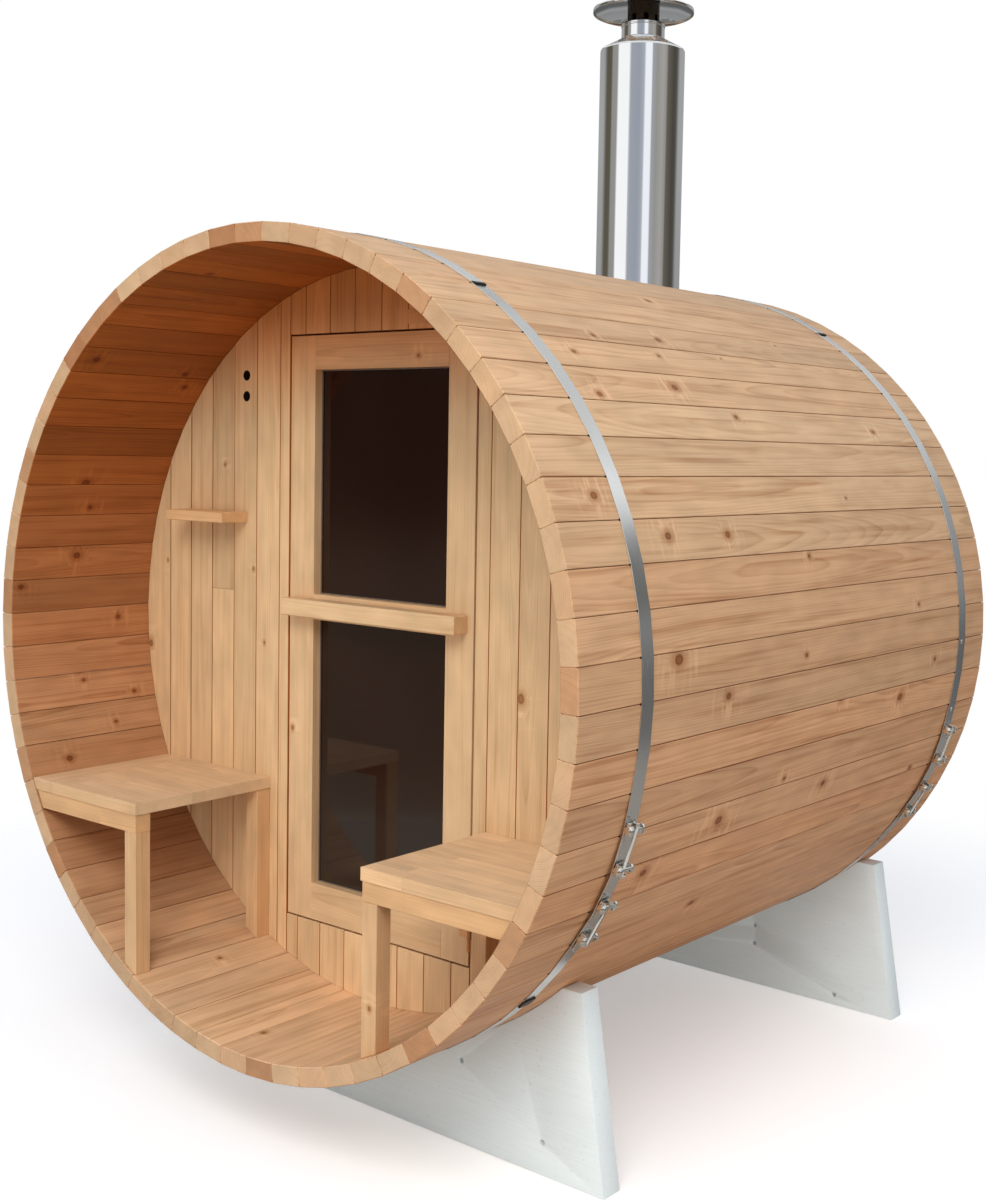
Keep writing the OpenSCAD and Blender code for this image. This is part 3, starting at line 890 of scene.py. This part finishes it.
def build_door():
    """The door's frame, panes with their beads, and the pull bar."""
    y0, y1 = PORCH, PORCH + DOOR_T
    inner_x = DOOR_HALF_W - STILE_W
    upper = (MID_RAIL_Z + 0.5 * MID_RAIL_H, DOOR_HALF_H - TOP_RAIL_H)
    lower = (BOTTOM_RAIL_H - DOOR_HALF_H, MID_RAIL_Z - 0.5 * MID_RAIL_H)
    members = {
        "door_stile_left": (-DOOR_HALF_W, -inner_x, -DOOR_HALF_H, DOOR_HALF_H, UPRIGHT, 1.02),
        "door_stile_right": (inner_x, DOOR_HALF_W, -DOOR_HALF_H, DOOR_HALF_H, UPRIGHT, 0.99),
        "door_rail_top": (-inner_x, inner_x, upper[1], DOOR_HALF_H, CROSSWISE, 0.97),
        "door_rail_middle": (-inner_x, inner_x, lower[1], upper[0], CROSSWISE, 1.0),
        "door_rail_bottom": (-inner_x, inner_x, -DOOR_HALF_H, lower[0], CROSSWISE, 0.98),
    }
    for number, (node, (x0, x1, z0, z1, axes, tone)) in enumerate(members.items()):
        boards = Boards(300 + number)
        boards.slab(rectangle(x0 + 0.1, x1 - 0.1, z0, z1), y0, y1, axes, chamfer=1.0, tone=tone,
                    knots=knots_between(DOOR_KNOTS, x0, x1, z0, z1))
        boards.build(f"{node}_board", "door_wood", "door", [node])
    for node, (z0, z1) in (("door_glass_upper", upper), ("door_glass_lower", lower)):
        pane = Boards(320)
        sheet = rectangle(-inner_x + 0.3, inner_x - 0.3, z0 + 0.3, z1 - 0.3)
        pane.slab(sheet, GLASS_Y, GLASS_Y + GLASS_T, UPRIGHT)
        pane.build(f"{node}_pane", "dark_glass", "door", [node])
        bead = Boards(321)
        for x in (-inner_x, inner_x - BEAD_W):
            bead.slab(rectangle(x, x + BEAD_W, z0, z1), GLASS_Y - BEAD_T, GLASS_Y, UPRIGHT, chamfer=0.8)
        for z in (z0, z1 - BEAD_W):
            strip = rectangle(-inner_x + BEAD_W, inner_x - BEAD_W, z, z + BEAD_W)
            bead.slab(strip, GLASS_Y - BEAD_T, GLASS_Y, CROSSWISE, chamfer=0.8)
        bead.build(f"{node}_bead", "sealant", "door")
    bar = Boards(330)
    bar.slab(rectangle(-BAR_HALF, BAR_HALF, MID_RAIL_Z - 0.5 * BAR_H, MID_RAIL_Z + 0.5 * BAR_H),
             PORCH - BAR_OUT, PORCH, CROSSWISE, chamfer=2.2, tone=1.04)
    bar.build("door_handle_bar_board", "door_wood", "door", ["door_handle_bar"])


build_door()


# The benches and the shelf

SEAT_T = 30.0
LEG_W = 45.0
BEAM_H = 46.0
OVERHANG = 3.0
LAMELLA = 42.0
LEG_KNOTS = {("right", "front"): [(spot(402, 31, -741), 5)]}

# Each bench's side, distance from the middle, depth of its top under the axis, and front edge
BENCHES = {"left": (-1, 398.0, 412.0, 2.0), "right": (1, 373.0, 430.0, 28.0)}

# Past the shell at the height of the seats, and the left seat's last strip, which lies the other way
SEAT_END = 940.0
EDGE_STRIP_X = 753.0

# The looks of the benches' parts, and the shelf on the wall. The seats' front edges, the beams, the legs and
# the shelf are darker and warmer than the seat tops, a painted warm shade
RIGHT_SEAT_TONE = 1.07
EDGE_SHADE_TONE = 0.95
EDGE_SHADE_WARMTH = 0.22
BEAM_LOOKS = {"tone": 0.95, "warmth": 0.36, "chamfer": 0.8}
LEG_LOOKS = {"tone": 0.92, "warmth": 0.26, "chamfer": 1.6}
SHELF_LOOKS = {"tone": 0.96, "warmth": 0.34, "chamfer": 1.5}
SHELF = (-738, -500, 274, 302)
SHELF_DEPTH = 90


def side_span(side, near, far):
    """An x span given as distances from the middle, on the left or right side."""
    return (near, far) if side > 0 else (-far, -near)


def seat_paint(centre, normal, tone, warmth):
    """The right seat is the lighter one, and the front edges are browner than the tops, a painted shade."""
    tone *= RIGHT_SEAT_TONE if centre.x > 0 else 1.0
    return (EDGE_SHADE_TONE * tone, warmth + EDGE_SHADE_WARMTH) if normal.y < -0.8 else (tone, warmth)


def build_bench(name, side, inner, drop, front, seed):
    """A bench: a seat glued from lamellae, its beam, and its two legs."""
    top, under = -drop, -drop - SEAT_T
    seat = Boards(seed)
    depth = PORCH - front
    rows = round(depth / LAMELLA)
    limit = EDGE_STRIP_X if side < 0 else SEAT_END
    for row in range(rows):
        y0 = front + row * depth / rows
        y1 = front + (row + 1) * depth / rows
        breaks = [inner, inner + seat.dice.uniform(90, 320), limit]
        for near, far in zip(breaks, breaks[1:]):
            x0, x1 = side_span(side, near + 0.05, far - 0.05)
            outline = in_shell(rectangle(x0, x1, under, top))
            seat.slab(outline, y0 + 0.05, y1 - 0.05, FLAT_CROSSWISE, chamfer=0.35, spread=0.06,
                      paint=seat_paint)
    if side < 0:
        x0, x1 = side_span(side, EDGE_STRIP_X + 0.5, SEAT_END)
        outline = in_shell(rectangle(x0, x1, under, top))
        seat.slab(outline, front, PORCH, FLAT_DEEP, tone=0.98, paint=seat_paint)
    seat.build(f"{name}_bench_seat_boards", "bench_wood", nodes=[f"{name}_bench_seat"])

    beam = Boards(seed + 1)
    start = inner + OVERHANG
    breaks = [start, start + beam.dice.uniform(110, 190), SEAT_END]
    for near, far in zip(breaks, breaks[1:]):
        x0, x1 = side_span(side, near + 0.05, far - 0.05)
        outline = in_shell(rectangle(x0, x1, under - BEAM_H, under - 0.2))
        beam.slab(outline, front + OVERHANG, front + OVERHANG + LEG_W, CROSSWISE, **BEAM_LOOKS)
    beam.build(f"{name}_bench_beam_boards", "bench_wood", nodes=[f"{name}_bench_beam"])

    x0, x1 = side_span(side, start, start + LEG_W)
    legs = (("front", front + OVERHANG, under - BEAM_H - 0.2), ("back", PORCH - LEG_W - 0.2, under - 0.2))
    for number, (place, y0, z1) in enumerate(legs):
        leg = Boards(seed + 2 + number)
        leg.slab(in_shell(rectangle(x0, x1, -BEYOND, z1)), y0, y0 + LEG_W, UPRIGHT,
                 knots=LEG_KNOTS.get((name, place), ()), **LEG_LOOKS)
        leg.build(f"{name}_bench_{place}_leg_board", "bench_wood", nodes=[f"{name}_bench_{place}_leg"])


for number, (name, bench) in enumerate(BENCHES.items()):
    build_bench(name, *bench, seed=400 + 10 * number)

shelf = Boards(440)
shelf.slab(in_shell(rectangle(*SHELF)), PORCH - SHELF_DEPTH, PORCH - 0.2, FLAT_CROSSWISE, **SHELF_LOOKS)
shelf.build("porch_shelf_board", "bench_wood", nodes=["porch_shelf"])


# Metal work

# Metal shades smoothly over edges that turn less than this
SMOOTH_UNDER = math.radians(32)


def smooth(mesh):
    mesh.polygons.foreach_set("use_smooth", [True] * len(mesh.polygons))
    mesh.set_sharp_from_angle(angle=SMOOTH_UNDER)


class Metal:
    """Gathers metal parts into one mesh, with the brushing direction of each."""

    def __init__(self):
        self.corners = []
        self.faces = []
        self.grain = []

    def put(self, corners, faces, axes=FLAT_CROSSWISE):
        first = len(self.corners)
        self.corners += corners
        self.grain += [Vector([corner.dot(axis) for axis in axes]) for corner in corners]
        self.faces += [tuple(first + i for i in face) for face in faces]

    def build(self, name, slot, nodes=()):
        mesh = new_mesh(name, self.corners, self.faces)
        store(mesh, "grain", "POINT", self.grain)
        link(name, mesh, slot, nodes=nodes)
        smooth(mesh)


def lathe(profile, sides, place):
    """A (radius, height) profile in mm turned about the local Z, placed by a matrix in mm."""
    corners = []
    rings = []
    for radius, height in profile:
        points = circle(radius, sides) if radius > 0 else [(0, 0)]
        rings.append(range(len(corners), len(corners) + len(points)))
        corners += [spot(*(place @ Vector((a, b, height)))) for a, b in points]
    faces = []
    for low, high in zip(rings, rings[1:]):
        for i in range(sides):
            j = (i + 1) % sides
            if len(low) == 1:
                faces.append((low[0], high[i], high[j]))
            elif len(high) == 1:
                faces.append((low[i], low[j], high[0]))
            else:
                faces.append((low[i], low[j], high[j], high[i]))
    return corners, faces


def placed(shape, place):
    """A prism's corners and faces moved by a matrix in mm."""
    corners, faces = shape
    return [spot(*(place @ Vector(corner))) for corner in corners], faces


HOOP_R = OUTER_FLAT + 0.3
HOOP_T = 2.0
HOOP_W = 42.0
HOOP_FRONTS = {"front": 206.0, "rear": 1737.0}

# Places on the hoops, in degrees from the top: the lap's end, the front band's clip, the rear band's
# screws, and the locks with the turn from their middle to their brackets
LAP_STAVES = (7, 8)
LAP_END = 31.5
CLIP_AT = 136.0
SCREWS_AT = (91.6, 103.0)
LOCKS = (109.0, 119.6)
BRACKET_ANGLE = 2.62
TIP_ANGLE = 1.6

# Outlines in the hoop's surface, in mm along it and across it
BRACKET = (-13, 13, -19, 19)
TIP = ((-14, -16), (8, -16), (22, 0), (8, 16), (-14, 16))
CLIP = (-14, 14, -22, 22)
# Dark blocks that stand for shadow: in the gap at the lap's end, and in each stave joint's mouth under the
# band's front edge
LAP_GAP_SHADOW = (-4, 4, -19, 19)
JOINT_SHADOW = (-2.4, 2.4, -23.4, -20.5)
SHEET_T = 2.2

# Turned parts as (radius, height), and the height of the locks' pins and rods over the band
SCREW_HEAD = ((0, 3.4), (3, 3.1), (5.4, 2.0), (6.2, 0.6), (6.2, 0), (0, 0))
PIN = ((0, -28), (6, -27.4), (9.8, -25), (11, -21.6), (10.2, -19.2), (4.4, -19.1), (4.4, 19.1), (10.2, 19.2),
       (11, 21.6), (9.8, 25), (6, 27.4), (0, 28))
PIN_H = 11
ROD_H = 11.5
EAR_R = 12
EARS_AT = (-17.6, 17.6)
EAR_HALF_T = 1.3
NUT_W = 15
NUT_AT = 14
NUT_HALF = 4.5
THREADS = 76
THREAD_HALF = 56.5
THREAD_R = (4.2, 3.5)

# The locks draw the band a little off the staves between them
LIFT_MIDDLE = 114.3
LIFT_REACH = 15.0
LIFT = 9.0


def hoop_lift(degrees):
    """How far the band stands off the staves."""
    share = abs(degrees - LIFT_MIDDLE) / LIFT_REACH
    return LIFT * math.cos(0.5 * math.pi * share) ** 2 if share < 1 else 0.0


def hoop_band(metal, y0, first, last, low, high):
    """A band over the staves' facets from corner number first to last, between two heights on the flats."""
    edge = 0.5
    section = [(low, 0), (high - edge, 0), (high, edge)]
    section += [(reach, HOOP_W - y) for reach, y in reversed(section)]
    closed = last - first == STAVES
    rings = []
    corners = []
    for k in range(first, last + (0 if closed else 1)):
        angle = seam_angle(k)
        ring = []
        for reach, y in section:
            radius = (reach + hoop_lift(math.degrees(angle))) / math.cos(0.5 * STEP)
            ring.append(len(corners))
            corners.append(spot(radius * math.sin(angle), y0 + y, radius * math.cos(angle)))
        rings.append(ring)
    size = len(section)
    faces = []
    pairs = list(zip(rings, rings[1:])) + ([(rings[-1], rings[0])] if closed else [])
    for one, two in pairs:
        faces += [(one[i], one[(i + 1) % size], two[(i + 1) % size], two[i]) for i in range(size)]
    if not closed:
        faces += [tuple(rings[0]), tuple(rings[-1])]
    first_corner = len(metal.corners)
    metal.put(corners, faces)
    for i, corner in enumerate(corners):
        around = math.atan2(corner.x, corner.z - AXIS_Z)
        metal.grain[first_corner + i] = Vector((around, corner.y, 0.0))


def on_hoop(y0, degrees, lift=0.0):
    """A local frame on the hoop: X clockwise along it, Y back, Z outward."""
    along, out = ring_axes(math.radians(degrees))
    place = Matrix((along, Y_AXIS, out)).transposed().to_4x4()
    reach = HOOP_R + HOOP_T + 1.2 + lift
    return Matrix.Translation(Vector((0, y0 + 0.5 * HOOP_W, 0)) + reach * out) @ place


def raised(place, height, degrees, axis):
    """A local frame moved outward and turned, so that its Z lies in the hoop's surface."""
    return place @ Matrix.Translation((0, 0, height)) @ Matrix.Rotation(math.radians(degrees), 4, axis)


def lock_parts(bright, y0, degrees, pointed):
    """Two U brackets with cross pins, and the threaded rod with its nuts."""
    ear = [(-EAR_R, 1), (EAR_R, 1)]
    ear += [(EAR_R * math.cos(math.pi * i / 12), PIN_H + 11 * math.sin(math.pi * i / 12)) for i in range(13)]
    nut = circle(NUT_W / math.sqrt(3), 6)
    for side in (-1, 1):
        at = degrees + side * BRACKET_ANGLE
        place = on_hoop(y0, at, hoop_lift(at))
        bright.put(*placed(prism(bevelled(rectangle(*BRACKET), 0.5), 0, SHEET_T, 0.5), place))
        for centre in EARS_AT:
            corners, faces = prism(ear, centre - EAR_HALF_T, centre + EAR_HALF_T, 0.4)
            bright.put(*placed(([(a, h, b) for a, b, h in corners], faces), place))
        bright.put(*lathe(PIN, 24, raised(place, PIN_H, -90, "X")))
        shape = prism(nut, side * NUT_AT - NUT_HALF, side * NUT_AT + NUT_HALF, 0.9)
        bright.put(*placed(shape, raised(place, PIN_H, 90, "Y")))
    threads = [(0, -57.5), (3.2, -57)]
    for i in range(THREADS):
        for radius, part in zip(THREAD_R, (0.25, 0.75)):
            threads.append((radius, -THREAD_HALF + 2 * THREAD_HALF * (i + part) / THREADS))
    threads += [(3.2, 57), (0, 57.5)]
    rod = raised(on_hoop(y0, degrees, hoop_lift(degrees)), ROD_H, 90, "Y")
    bright.put(*lathe(threads, 16, rod))
    if pointed:
        bracket = degrees + BRACKET_ANGLE
        place = on_hoop(y0, bracket + TIP_ANGLE, hoop_lift(bracket))
        bright.put(*placed(prism(TIP, 0, SHEET_T, 0.5), place))


def build_hoops():
    """The bands with their lap and screws, and the locks that draw them tight."""
    for name, y0 in HOOP_FRONTS.items():
        band = Metal()
        hoop_band(band, y0, 0, STAVES, HOOP_R, HOOP_R + HOOP_T)
        hoop_band(band, y0, LAP_STAVES[0], LAP_STAVES[1] + 1, HOOP_R + HOOP_T + 0.1, HOOP_R + 2 * HOOP_T)
        if name == "rear":
            for degrees in SCREWS_AT:
                band.put(*lathe(SCREW_HEAD, 20, on_hoop(y0, degrees, hoop_lift(degrees) - 1.2)))
        band.build(f"hoop_{name}_band", "hoop_steel", nodes=[f"hoop_{name}"])
        bright = Metal()
        dark = Metal()
        # Painted shadow: dark blocks in the lap's gap and in the joints' mouths; the front band's clip is
        # really black
        dark.put(*placed(prism(rectangle(*LAP_GAP_SHADOW), 0, 4.2, 0.5), on_hoop(y0, LAP_END, -1.0)))
        for k in range(STAVES):
            joint_shadow = prism(rectangle(*JOINT_SHADOW), -5.0, -1.6, 0.3)
            dark.put(*placed(joint_shadow, on_hoop(y0, math.degrees(seam_angle(k)))))
        if name == "front":
            clip_shape = prism(bevelled(rectangle(*CLIP), 5), -1, 3.4, 1.2)
            dark.put(*placed(clip_shape, on_hoop(y0, CLIP_AT)))
        for degrees in LOCKS:
            lock_parts(bright, y0, degrees, degrees == LOCKS[1])
        bright.build(f"hoop_locks_{name}_brackets", "lock_steel", nodes=[f"hoop_locks_{name}"])
        dark.build(f"hoop_{name}_shadow_blocks_and_any_clip", "dark_steel")


build_hoops()

SHARP_OVER = math.radians(30)


def copy_of(node, slot, bevel, body="sauna", axes=UPRIGHT):
    """A CAD node's shape with its edges softened and a grain direction."""
    tool = bmesh.new()
    tool.from_mesh(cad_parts[node].data)
    bmesh.ops.remove_doubles(tool, verts=tool.verts, dist=1e-6)
    bmesh.ops.dissolve_limit(tool, angle_limit=math.radians(0.5), verts=tool.verts, edges=tool.edges)
    edges = [edge for edge in tool.edges
             if len(edge.link_faces) == 2 and edge.calc_face_angle() > SHARP_OVER]
    bmesh.ops.bevel(tool, geom=edges, offset=bevel * MM, offset_type="OFFSET", segments=2, profile=0.5,
                    affect="EDGES", clamp_overlap=True)
    mesh = bpy.data.meshes.new(f"{node}_shape")
    tool.to_mesh(mesh)
    tool.free()
    mesh.materials.clear()
    store(mesh, "grain", "POINT", [[vertex.co.dot(axis) for axis in axes] for vertex in mesh.vertices])
    link(f"{node}_shape", mesh, slot, body, [node])
    smooth(mesh)


for node in ("cradle_front", "cradle_rear"):
    copy_of(node, "white_paint", 2.5, axes=CROSSWISE)
for node, body in (("hinge_pins", "sauna"), ("door_hinge_leaves", "door")):
    copy_of(node, "hinge_steel", 0.3, body)


# The flue

SHOULDER = 9.0
SHOULDER_TURN = 75
COLLAR = ((0, 12), (0, 9), (1.2, 7.5), (1.2, 5), (0, 3.5), (0, 0))


def build_flue():
    """The casing with its rounded shoulder, and the liner with its rolled collar."""
    place = Matrix.Translation(Vector((*FLUE, 0)))
    bend = CASING_TOP - SHOULDER
    cone_top = CASING_TOP + CONE_H
    profile = [(CASING_R - 2, FLUE_FOOT), (CASING_R, FLUE_FOOT), (CASING_R, bend - 4), (CASING_R, bend - 1),
               (CASING_R, bend)]
    for i in range(1, 7):
        turn = math.radians(SHOULDER_TURN * i / 6)
        profile.append((CASING_R - SHOULDER + SHOULDER * math.cos(turn), bend + SHOULDER * math.sin(turn)))
    profile += [(LINER_R + 1.5, cone_top - 2), (LINER_R + 0.3, cone_top), (LINER_R + 0.3, cone_top - 3),
                (CASING_R - 2, CASING_TOP - 3), (CASING_R - 2, FLUE_FOOT)]
    casing = Metal()
    casing.put(*lathe(profile, 128, place), axes=UPRIGHT)
    casing.build("flue_casing_sheet", "flue_steel", nodes=["flue_casing"])

    profile = [(LINER_R - 2, FLUE_FOOT), (LINER_R, FLUE_FOOT)]
    profile += [(LINER_R + out, LINER_TOP - down) for out, down in COLLAR]
    profile += [(LINER_R - 2, LINER_TOP), (LINER_R - 2, FLUE_FOOT)]
    liner = Metal()
    liner.put(*lathe(profile, 96, place), axes=UPRIGHT)
    liner.build("flue_liner_sheet", "flue_steel", nodes=["flue_liner"])


build_flue()
for node, slot in (("rain_cap_stays", "dark_steel"), ("rain_cap", "flue_steel")):
    copy_of(node, slot, 0.5)


# Studio

def make_camera():
    """The camera at the photograph's place, with the shift that its crop needs."""
    yaw, pitch, roll = CAMERA_YAW, CAMERA_PITCH, CAMERA_ROLL
    ahead = Vector((math.sin(yaw) * math.cos(pitch), math.cos(yaw) * math.cos(pitch), math.sin(pitch)))
    level_right = ahead.cross(Z_AXIS).normalized()
    level_up = level_right.cross(ahead)
    right = math.cos(roll) * level_right + math.sin(roll) * level_up
    up = math.cos(roll) * level_up - math.sin(roll) * level_right
    data = bpy.data.cameras.new("camera")
    data.sensor_width = 36
    data.lens = FOCAL_PX * data.sensor_width / PHOTO_H
    data.shift_x = (0.5 * PHOTO_W - AXIS_PX[0]) / PHOTO_H
    data.shift_y = (AXIS_PX[1] - 0.5 * PHOTO_H) / PHOTO_H
    camera = add_object("camera", data)
    turn = Matrix((right, up, -ahead)).transposed().to_4x4()
    camera.matrix_world = Matrix.Translation(CAMERA_AT) @ turn
    bpy.context.scene.camera = camera


def make_lamp(name, at, aim, size, power, colour, spread):
    """A soft rectangular lamp that metal doesn't mirror."""
    data = bpy.data.lights.new(name, "AREA")
    data.shape = "RECTANGLE"
    data.size, data.size_y = size
    data.energy = power
    data.color = colour
    data.spread = math.radians(spread)
    lamp = add_object(name, data)
    lamp.location = at
    lamp.rotation_euler = (Vector(aim) - Vector(at)).to_track_quat("-Z", "Y").to_euler()
    lamp.visible_glossy = False
    lamp.visible_camera = False


# Brightness that polished metal sees round it, by the turn from the direction towards the camera:
# degrees, brightness, and how brown (1) or blue (-1) it is
BANDS = (
    (-180, 0.18, 0.6), (-150, 0.19, 0.6), (-128, 0.09, 1.6), (-92, 0.10, 1.2), (-86, 0.29, 0.3),
    (-70, 0.31, 0.2), (-66, 1.0, 0.0), (-35, 1.0, 0.0), (-30, 0.38, -0.5), (-6, 0.36, -0.7),
    (6, 0.44, -0.5), (10, 0.95, -0.2), (25, 0.95, -0.2), (29, 0.38, -0.4), (42, 0.31, 0.3),
    (60, 0.38, 0.3), (70, 0.30, 0.3), (75, 0.12, 1.0), (97, 0.065, 0.8), (120, 0.09, 0.5),
    (150, 0.12, 0.3), (180, 0.18, 0.6),
)
BAND_TINT = 0.22

# Brightness that metal sees behind the object, by the height of the direction from -1 to 1
HEIGHTS = (
    (-1.0, 0.30), (-0.6, 0.28), (-0.50, 0.26), (-0.40, 0.32), (-0.30, 0.11), (-0.10, 0.11),
    (0.05, 0.28), (0.20, 0.38), (0.44, 0.34), (0.47, 0.95), (0.51, 0.95), (0.55, 0.38),
    (0.64, 0.42), (0.8, 0.6), (1.0, 1.0),
)

# The same ahead of it, above the bands
SKY_HEIGHTS = ((0.30, 0.55), (0.35, 0.92), (0.47, 1.0), (0.55, 0.64), (0.66, 0.58), (0.85, 1.0))
GROUND_SEEN = (0.28, 0.22, 0.16, 1)
HEDGE_SEEN = (0.10, 0.055, 0.035, 1)
CARDS_AWAY = 300
GROUND_CARD = {"radius": 3.2, "height": -0.0005}
GROUND_CARD_LOOKS = {"Base Color": (0.34, 0.30, 0.25, 1), "Roughness": 0.9}

# The light that matt surfaces get from above and from below
WHITE = (1, 1, 1, 1)
SKY_FILL = (0.49, 0.545, 0.65, 1)
GROUND_FILL = (0.45, 0.44, 0.42, 1)

# The floor: its colour for light and for the camera, its own glow, and where it fades, in metres
FLOOR = {"radius": 7, "height": -0.001}
FLOOR_LIT = (0.72, 0.71, 0.69, 1)
FLOOR_SEEN = (0.92, 0.895, 0.86, 1)
FLOOR_GLOW = 0.33
FLOOR_FADE = (1.9, 3.6)

# Lamps: place, aim and size in metres, power in watts, colour, and spread in degrees
LAMPS = {
    "key": ((2.6, -4.6, 5.0), (0, -0.4, 1.0), (3.2, 2.8), 208, (1.0, 0.985, 0.96), 180),
    "side": ((4.8, -1.0, 1.7), (0.8, 0.2, 1.0), (1.8, 1.6), 24, WHITE[:3], 180),
    "fill": ((0.2, -5.6, 0.95), (0, -0.5, 0.6), (3.4, 1.5), 40, WHITE[:3], 180),
    "low": ((2.6, -2.4, 0.45), (0.45, 0.85, 0.15), (0.8, 0.4), 0.9, WHITE[:3], 34),
    "top": ((0.4, 0.8, 5.6), (0, 0.2, 1.0), (4.0, 4.0), 25, WHITE[:3], 180),
}


def background_rays(net):
    """1 for the rays that show the white background, and 0 for those that carry light."""
    paths = net.add("ShaderNodeLightPath").outputs
    mirrored = net.math("MAXIMUM", paths["Is Glossy Ray"], paths["Is Transmission Ray"])
    return net.math("MAXIMUM", paths["Is Camera Ray"], mirrored)


def make_world():
    """White to the camera, metal and glass, and a soft fill for matt surfaces."""
    world = bpy.data.worlds.new("studio")
    bpy.context.scene.world = world
    world.use_nodes = True
    net = Net(world.node_tree)
    back = world.node_tree.nodes["Background"]
    height = net.parts(net.add("ShaderNodeTexCoord").outputs["Generated"])[2]
    fill = net.mix(net.range(height, -0.25, 0.75), GROUND_FILL, SKY_FILL)
    net.dress(back, {"Color": net.mix(background_rays(net), fill, WHITE)})


def show(material, net, surface):
    """Makes a shader's output the material's surface."""
    net.dress(material.node_tree.nodes["Material Output"], {"Surface": surface})


def card(name, mesh, material):
    """A stage piece that only mirror-like surfaces see."""
    mesh.materials.append(material)
    piece = add_object(name, mesh)
    piece.visible_camera = False
    piece.visible_diffuse = False
    piece.visible_shadow = False
    piece.visible_transmission = False


def make_cards():
    """Pale and dark studio cards far round the object, for its metal and glass to mirror."""
    material, net, shader = new_material("cards")
    direction = net.add("ShaderNodeVectorMath", {"operation": "NORMALIZE"}, {0: net.place()})
    x, y, z = net.parts(direction.outputs["Vector"])
    toward = (CAMERA_AT - spot(FLUE[0], FLUE[1], 0)).xy.normalized()
    dot = net.math("ADD", net.math("MULTIPLY", x, toward.x), net.math("MULTIPLY", y, toward.y))
    cross = net.math("SUBTRACT", net.math("MULTIPLY", y, toward.x), net.math("MULTIPLY", x, toward.y))
    turn = net.math("MULTIPLY_ADD", net.math("ARCTAN2", cross, dot), 0.5 / math.pi, 0.5)
    stops = []
    for degrees, value, brown in BANDS:
        tinted = (value * (1 + 0.5 * BAND_TINT * brown), value, value * (1 - BAND_TINT * brown), 1)
        stops.append((degrees / 360 + 0.5, tinted))
    bands = net.ramp(turn, stops)
    stops = [(0.5 * height + 0.5, value) for height, value in HEIGHTS]
    behind = net.ramp(net.math("MULTIPLY_ADD", z, 0.5, 0.5), stops)
    ahead = net.mix(net.range(z, -0.10, -0.02), GROUND_SEEN, HEDGE_SEEN)
    ahead = net.mix(net.range(z, 0.05, 0.10), ahead, bands)
    ahead = net.mix(net.range(z, 0.32, 0.36), ahead, net.ramp(z, SKY_HEIGHTS))
    above = net.math("MAXIMUM", net.math("SUBTRACT", z, 0.25), 0.0)
    turned = net.math("ADD", dot, net.math("MULTIPLY", above, 0.9))
    turned = net.math("SUBTRACT", turned, net.range(z, 0.06, 0.10, 0.3, 0.0))
    glossy = net.mix(net.range(turned, -0.60, -0.28), behind, ahead)
    show(material, net, net.add("ShaderNodeEmission", None, {"Color": glossy}).outputs[0])
    material.cycles.emission_sampling = "NONE"
    mesh = bpy.data.meshes.new("cards")
    tool = bmesh.new()
    bmesh.ops.create_icosphere(tool, subdivisions=3, radius=CARDS_AWAY)
    tool.to_mesh(mesh)
    tool.free()
    card("cards", mesh, material)


def disc(name, radius, height):
    """The mesh of a level disc round the origin."""
    sides = 64
    return new_mesh(name, [(a, b, height) for a, b in circle(radius, sides)], [tuple(range(sides))])


def make_floor():
    """A pale floor that fades into the white round it, and a dark card on it for metal to mirror."""
    material, net, shader = new_material("floor")
    seen = background_rays(net)
    net.dress(shader, {"Base Color": net.mix(seen, FLOOR_LIT, FLOOR_SEEN), "Emission Color": WHITE,
                       "Emission Strength": net.math("MULTIPLY", seen, FLOOR_GLOW), "Roughness": 0.9,
                       "Specular IOR Level": 0.1})
    clear = net.add("ShaderNodeBsdfTransparent").outputs[0]
    share = net.range(net.length(net.place()), *FLOOR_FADE)
    blend = {0: share, 1: shader.outputs[0], 2: clear}
    show(material, net, net.add("ShaderNodeMixShader", None, blend).outputs[0])
    mesh = disc("floor", **FLOOR)
    mesh.materials.append(material)
    add_object("floor", mesh)

    material, net, shader = new_material("ground_card")
    net.dress(shader, GROUND_CARD_LOOKS)
    card("ground_card", disc("ground_card", **GROUND_CARD), material)


make_camera()
make_world()
make_cards()
make_floor()
for name, lamp in LAMPS.items():
    make_lamp(name, *lamp)
bpy.context.scene.view_settings.view_transform = "Standard"
